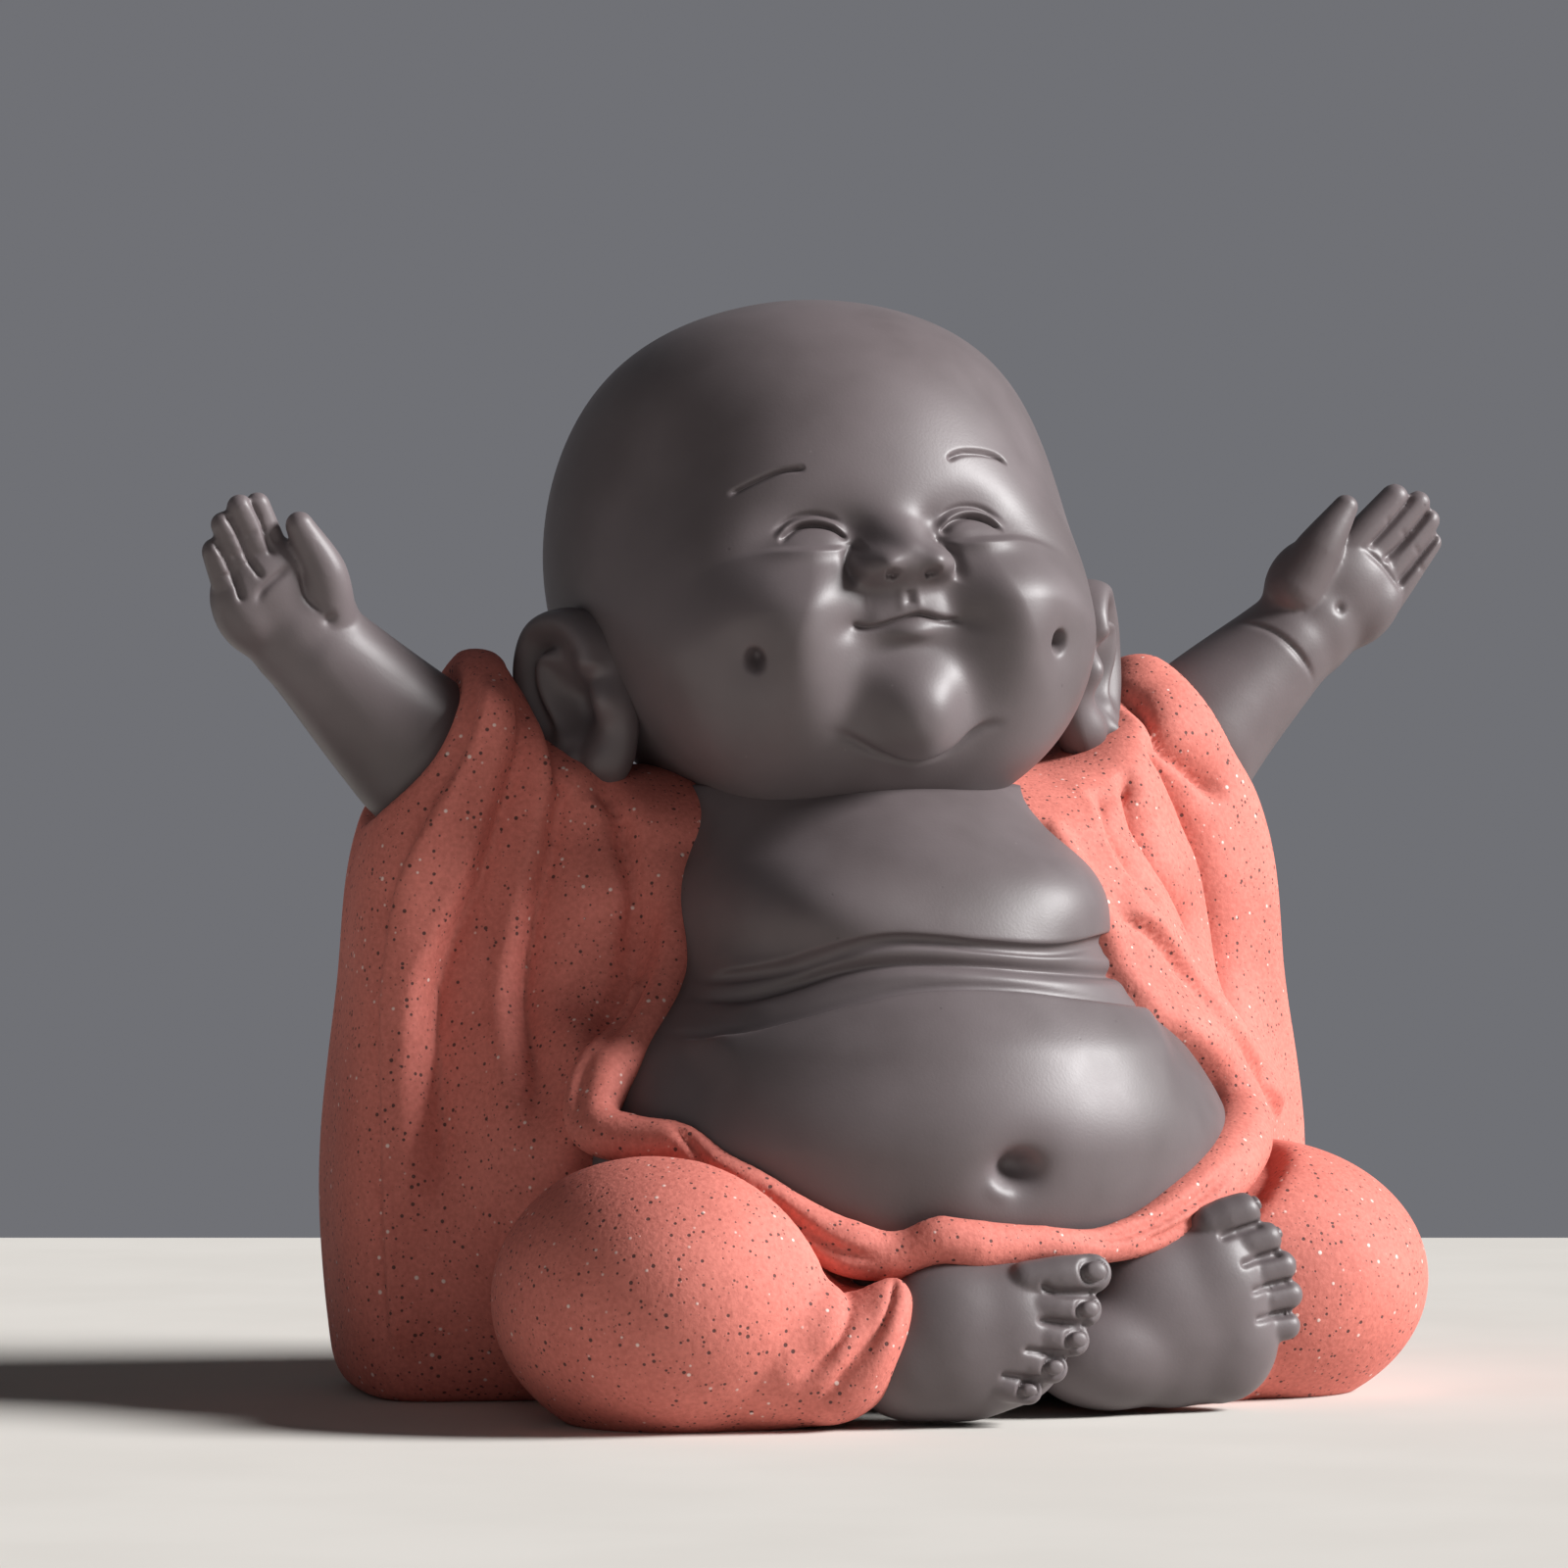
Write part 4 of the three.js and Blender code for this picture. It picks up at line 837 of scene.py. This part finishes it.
legTools = dict(voxel=0.42, rubs=24, folds=(1.3, 1.6, 0.9, 0.15),
                dip=2.2, dipSoft=1.5)   # the leg dips under the hem that lies on it


def makeLeg(side):
    settings = legs[side]
    parts = [lump(centre, half, turnAbout("Y", lean), 64, 40)
             for centre, half, lean in settings["lumps"]]
    parts.append(rolled(settings["calf"], settings["radii"], 40, 48))
    piece = work(parts, legTools["voxel"], legTools["rubs"])
    points = pointsOf(piece)
    facing = ease(-normalsOf(piece)[:, 1], *frontFacing)
    folds = [(valley, line, *legTools["folds"]) for line in settings["folds"]]
    dip = legTools["dip"] * besideStrand(points, smoothLine(hemLine, 4), hemRadii, legTools["dipSoft"])
    press(piece, relief(points[:, [0, 2]], folds) * facing - dip)
    return layIn(piece, settings["name"], coralClay, "coral_clay", settings["node"])


# robe: each column runs from the front hem over the shoulder to the back hem; its share is 0 at the
# middle of the back, 1 along the edge on the torso and 2 at the outer side of the sleeve

robe = dict(
    halfWidth=50.5, bellyHalfWidth=30.8, collar=60, shoulderReach=37.5, shoulder=71, shoulderRound=8,
    shoulderBy=0.9, lipReach=47.0, lapelRoll=1.6, lapelTop=54.0, sleeveFront=12.5, sleeveFrontBy=0.85,
    back=24, sleeveBack=14, sleeveBackBy=1.8, backLean=7, backTaper=3.0, backFrom=(-8, 6),
    hemRound=4, hemInset=0.6, sideRound=8, outermost=0.998,
    lapelAngles={right: ([25, 33, 45], [75, 76, 80]), left: ([24, 30, 36, 42], [75, 68, 55, 51])},
    rows=60, hemRows=7, shoulderRows=22, backColumns=14, sleeveColumns=40, sideColumns=22,
    voxel=0.56, smoothing=7, frontFacing=(-0.25, 0.25), backFacing=(0.2, 0.6))
roundShare = robe["sideRound"] / (robe["halfWidth"] - robe["bellyHalfWidth"])
robeSide = curveThrough([(0, 48.9), (19.25, 50.5), (38.5, 49.2), (55, robe["lipReach"]),
                         (robe["shoulder"], robe["shoulderReach"])])
folds = [  # valleys that fan out from the shoulders, drawn downwards: line, depth, reach left and right
    ([(-32.4, 71.0), (-33.4, 67.0), (-34.2, 63.0), (-35.4, 59.1), (-38.1, 51.0), (-41.6, 43.0),
      (-43.1, 37.8), (-43.9, 27.6), (-43.6, 15.0)], 2.4, 0.75, 3.4),
    ([(-28.6, 69.5), (-29.4, 65.0), (-30.0, 61.3), (-31.4, 54.7), (-33.7, 48.1), (-35.1, 42.2),
      (-36.4, 36.4), (-38.0, 24.0)], 2.3, 0.75, 3.0),
    ([(-25.0, 60.5), (-25.3, 56.0), (-25.0, 50.3), (-25.2, 45.1), (-26.6, 40.8), (-30.0, 36.6),
      (-33.0, 33.8)], 2.0, 2.6, 1.0),
    ([(29.4, 68.0), (30.2, 66.1), (31.8, 63.4), (33.6, 61.1), (36.6, 58.6), (39.6, 56.3)],
     2.6, 1.3, 1.3),
    ([(29.6, 65.0), (30.1, 63.0), (31.7, 59.9), (33.8, 56.1), (36.1, 51.1), (37.4, 44.9), (38.0, 38.8),
      (38.6, 32.6), (38.8, 26.0)], 3.0, 1.7, 1.2),
    ([(25.0, 60.0), (25.0, 57.6), (25.4, 54.6), (26.9, 51.2), (29.8, 47.0), (33.4, 41.8)],
     2.6, 1.5, 1.2),
    ([(20.6, 58.0), (20.8, 54.0), (22.0, 50.0), (24.6, 46.4)], 1.4, 1.4, 1.2)]
foldFade, crestAside, crest = 0.1, -1.7, (0.9, 0.4, 0.15)   # each fold has a crest beside its valley
panelEdge = [(-36.7, 69.0), (-38.2, 64.5), (-40.0, 60.1), (-43.4, 54.0), (-45.6, 48.6), (-46.7, 41.3),
             (-47.4, 32.8), (-47.6, 23.1), (-47.3, 14.0), (-46.6, 4.0)]
bandEdge = [(18.1, 45.9), (22.2, 44.2), (25.2, 41.5), (28.3, 38.4), (32.1, 34.5), (36.0, 31.3),
            (39.9, 27.4), (42.9, 24.7)]
robeMarks = [(valley, line, *shape, foldFade) for line, *shape in folds]
robeMarks += [(stroke, shifted(line, crestAside, 0), *crest) for line, *shape in folds]
robeMarks += [(stroke, line, 0.5, -0.8, 0.25) for line in hemWrinkles]
robeMarks += [(shelf, panelEdge, 0.3, 1.4, 4.0, 1, 0.06),
              (shelf, bandEdge, 0.4, 1.3, 3.5, 1, 0.1), (stroke, bandEdge, 0.6, -0.6, 0.1)]
backMarks = [(valley, [(0.6 * x, 62), (0.9 * x, 42), (1.1 * x, 24), (1.2 * x, 8)], 1.3, 2.2, 3.0, 0.15)
             for x in (-30, -17, -6, 7, 19, 31)]
mouthTurn = dict(depth=1.3, soft=0.9, outer=(34, 40))   # the sleeve's mouth turns in round the arm


def lapelAt(z, side):
    angle = np.radians(np.interp(z, *robe["lapelAngles"][side]))
    return torsoSkin(side * angle, np.minimum(z, robe["lapelTop"]), robe["lapelRoll"])


def robeColumn(share):
    wing = max(abs(share) - 1, 0)
    onSide = left if share >= 0 else right
    side = min(max((wing - 1 + roundShare) / roundShare, 0), 1)
    depth = max(1 - side**3, 0) ** (1 / 3)
    middle = (robe["sleeveBack"] - robe["sleeveFront"]) / 2
    climb = float(ease(wing, 0, robe["shoulderBy"]))
    spring = robe["collar"] + (robe["shoulder"] - robe["collar"]) * climb - robe["shoulderRound"]
    blendFront = float(ease(wing, 0, robe["sleeveFrontBy"]))
    blendBack = float(ease(abs(share), 0, robe["sleeveBackBy"]))
    backAtFoot = robe["back"] * (1 - blendBack) + robe["sleeveBack"] * blendBack
    front = lambda z: lapelAt(z, onSide)[..., 1] * (1 - blendFront) - robe["sleeveFront"] * blendFront
    back = lambda z: backAtFoot - robe["backLean"] * (z / robe["shoulder"]) ** 2
    foot = robe["hemRound"] * (1 - np.cos(np.linspace(0, math.pi / 2, robe["hemRows"])))
    rise = np.concatenate([foot, np.linspace(robe["hemRound"], spring, robe["rows"])[1:]])
    over = np.linspace(0, math.pi, robe["shoulderRows"])[1:-1]
    passed = (1 - np.cos(over)) / 2
    z = np.concatenate([rise, spring + robe["shoulderRound"] * np.sin(over), rise[::-1]])
    bridge = front(spring) * (1 - passed) + back(spring) * passed
    y = np.concatenate([front(rise), bridge, back(rise[::-1])])
    low = np.clip(1 - z / robe["hemRound"], 0, 1)
    inset = robe["hemInset"] * robe["hemRound"] * (1 - np.sqrt(1 - low**2))
    deep = middle + (y - middle - np.sign(y - middle) * inset) * depth
    narrow = robe["backTaper"] * wing * ease(deep, -robe["sleeveFront"], robe["sleeveBack"])
    narrow += inset * side
    lapelX = np.abs(lapelAt(z, onSide)[..., 0])
    otherX = np.abs(lapelAt(z, right)[..., 0])
    lapelX += (otherX - lapelX) * ease(deep, *robe["backFrom"])   # the back is the same on both sides
    across = lapelX + (robeSide(z) - narrow - lapelX) * wing if wing else abs(share) * lapelX
    return np.stack([onSide * across, deep, z], 1)


def makeRobeSheet():
    sides = robe["outermost"] * np.sin(np.linspace(0, math.pi / 2, robe["sideColumns"]))
    half = np.concatenate([np.linspace(0, 1, robe["backColumns"])[:-1],
                           np.linspace(1, 2 - roundShare, robe["sleeveColumns"])[:-1],
                           2 - roundShare * (1 - sides)])
    columns = [robeColumn(share) for share in np.concatenate([-half[:0:-1], half])]
    count = len(columns[0])
    last = (len(columns) - 1) * count
    faces = []
    for start in range(0, last, count):
        for r in range(count):
            n = (r + 1) % count
            faces.append((start + r, start + n, start + count + n, start + count + r))
    for r in range(count // 2 - 1):   # the outer sides close front to back, level by level
        level = (r, r + 1, count - 2 - r, count - 1 - r)
        faces += [level[::-1], tuple(last + i for i in level)]
    mesh = bpy.data.meshes.new("sheet")
    mesh.from_pydata([tuple(p) for column in columns for p in column], [], faces)
    piece = bpy.data.objects.new("sheet", mesh)
    bpy.context.scene.collection.objects.link(piece)
    return piece


def makeRobe():
    sheet = makeRobeSheet()
    edge = rolled(hemLine, hemRadii, 28, 320)
    piece = work([sheet, edge], robe["voxel"], robe["smoothing"])
    normals = normalsOf(piece)
    flat = pointsOf(piece)[:, [0, 2]]
    facing = ease(-normals[:, 1], *robe["frontFacing"])
    backing = ease(normals[:, 1], *robe["backFacing"])
    press(piece, relief(flat, robeMarks) * facing + relief(flat, backMarks) * backing)
    for side in (left, right):
        points = pointsOf(piece)
        bar = smoothLine(arms[side]["bar"], 16)[::4]
        turnIn = mouthTurn["depth"] * besideStrand(points, bar, arms[side]["radii"], mouthTurn["soft"])
        press(piece, -turnIn * ease(np.abs(points[:, 0]), *mouthTurn["outer"]))
    return layIn(piece, "robe", coralClay, "coral_clay",
                 "robe_back", "left_sleeve", "right_sleeve", "robe_edge")


# closing slab under the torso

slab = dict(radius=17, height=4, sides=96, vent=4, ventLength=12, ventSides=48, soft=0.5, softSteps=3)


def addDisc(radius, height, sides):
    deselect()
    place = (0, -slabForward, slab["height"] / 2)
    bpy.ops.mesh.primitive_cylinder_add(vertices=sides, radius=radius, depth=height, location=place)
    bpy.ops.object.transform_apply(location=True, rotation=True, scale=True)
    return bpy.context.object


def makeSlab():
    vent = addDisc(slab["vent"], slab["ventLength"], slab["ventSides"])
    piece = addDisc(slab["radius"], slab["height"], slab["sides"])
    hole = piece.modifiers.new("vent", "BOOLEAN")
    hole.operation = "DIFFERENCE"
    hole.object = vent
    bpy.ops.object.modifier_apply(modifier="vent")
    bpy.data.objects.remove(vent)
    soft = piece.modifiers.new("soft", "BEVEL")
    soft.width = slab["soft"]
    soft.segments = slab["softSteps"]
    bpy.ops.object.modifier_apply(modifier="soft")
    return layIn(piece, "slab_skin", darkClay, "dark_clay", "base_slab")


makeTorso()
makeHead()
makeEar(left, "left_ear_skin", "left_ear")
makeEar(right, "right_ear_skin", "right_ear")
for side in (left, right):
    makeArm(side)
    makeFoot(side)
    makeLeg(side)
makeRobe()
makeSlab()


# stage in metres: pale table, grey room, soft light from the figure's left

viewTurn = math.radians(22)   # the camera stands this far round to the figure's right
alongView = Vector((math.sin(viewTurn), math.cos(viewTurn), 0))
acrossView = Vector((alongView.y, -alongView.x, 0))
stage = dict(tableNear=-1.4, tableFar=0.215, tableHalf=1.6, roughness=0.9, specular=0.2,
             cloud=(30.0, 3.0), tones=(0.3, 0.7), table=((0.66, 0.63, 0.59, 1), (0.69, 0.66, 0.62, 1)),
             room=(0.162, 0.165, 0.180, 1), shade=(0.03, 0.03, 0.031, 1))
lamps = [  # name, way across the view, along it and up, spread in degrees, strength
    ("key", (1.10, -0.10, 0.62), 20, 6.7),
    ("fill", (-0.10, -0.85, 0.25), 40, 0.16)]
lampAim = Vector((0, 0, 0.055))
camera = dict(lens=152.36, sensor=36, clip=0.01, place=(-245.06, -599.87, 58.0))   # place in mm


def makeStage():
    deselect()
    bpy.ops.mesh.primitive_plane_add(size=1)
    floor = bpy.context.object
    points = pointsOf(floor)
    away = stage["tableNear"] + (stage["tableFar"] - stage["tableNear"]) * (points[:, 1] + 0.5)
    sideways = 2 * stage["tableHalf"] * points[:, 0]
    setPoints(floor, np.outer(sideways, acrossView) + np.outer(away, alongView))
    floor.name = "floor"
    material, shader, place = newMaterial("floor_look", stage["specular"])
    shader.inputs["Roughness"].default_value = stage["roughness"]
    tone = place.noise(*stage["cloud"]).ease(*stage["tones"]).blend(*stage["table"])
    feed(shader, "Base Color", tone)
    floor.data.materials.append(material)


def addThing(name, data):
    thing = bpy.data.objects.new(name, data)
    bpy.context.scene.collection.objects.link(thing)
    return thing


# Far, soft lamps, which light the table evenly from end to end.
def makeLights():
    for name, (sideways, onwards, upwards), spread, strength in lamps:
        lamp = bpy.data.lights.new(name, "SUN")
        lamp.angle = math.radians(spread)
        lamp.energy = strength
        way = acrossView * sideways + alongView * onwards + Vector((0, 0, upwards))
        thing = addThing(name, lamp)
        thing.location = lampAim + way
        thing.rotation_euler = way.to_track_quat("Z", "Y").to_euler()
    world = bpy.data.worlds.new("room")
    bpy.context.scene.world = world
    world.use_nodes = True
    start = Strand(world.node_tree)
    # the camera and reflections see the room, while its light on the object stays low
    seen, glossy, through = (start.add("ShaderNodeLightPath", output=path) for path in (0, 3, 6))
    colour = (seen + glossy + through).blend(stage["shade"], stage["room"])
    feed(world.node_tree.nodes["Background"], "Color", colour)


def makeCamera():
    eye = bpy.data.cameras.new("camera")
    eye.lens = camera["lens"]
    eye.sensor_width = camera["sensor"]
    eye.clip_start = camera["clip"]
    thing = addThing("camera", eye)
    thing.location = tuple(np.array(camera["place"]) * mm + figureOrigin)
    thing.rotation_euler = (math.radians(90), 0, -viewTurn)
    bpy.context.scene.camera = thing


makeStage()
makeLights()
makeCamera()
print("stage set")
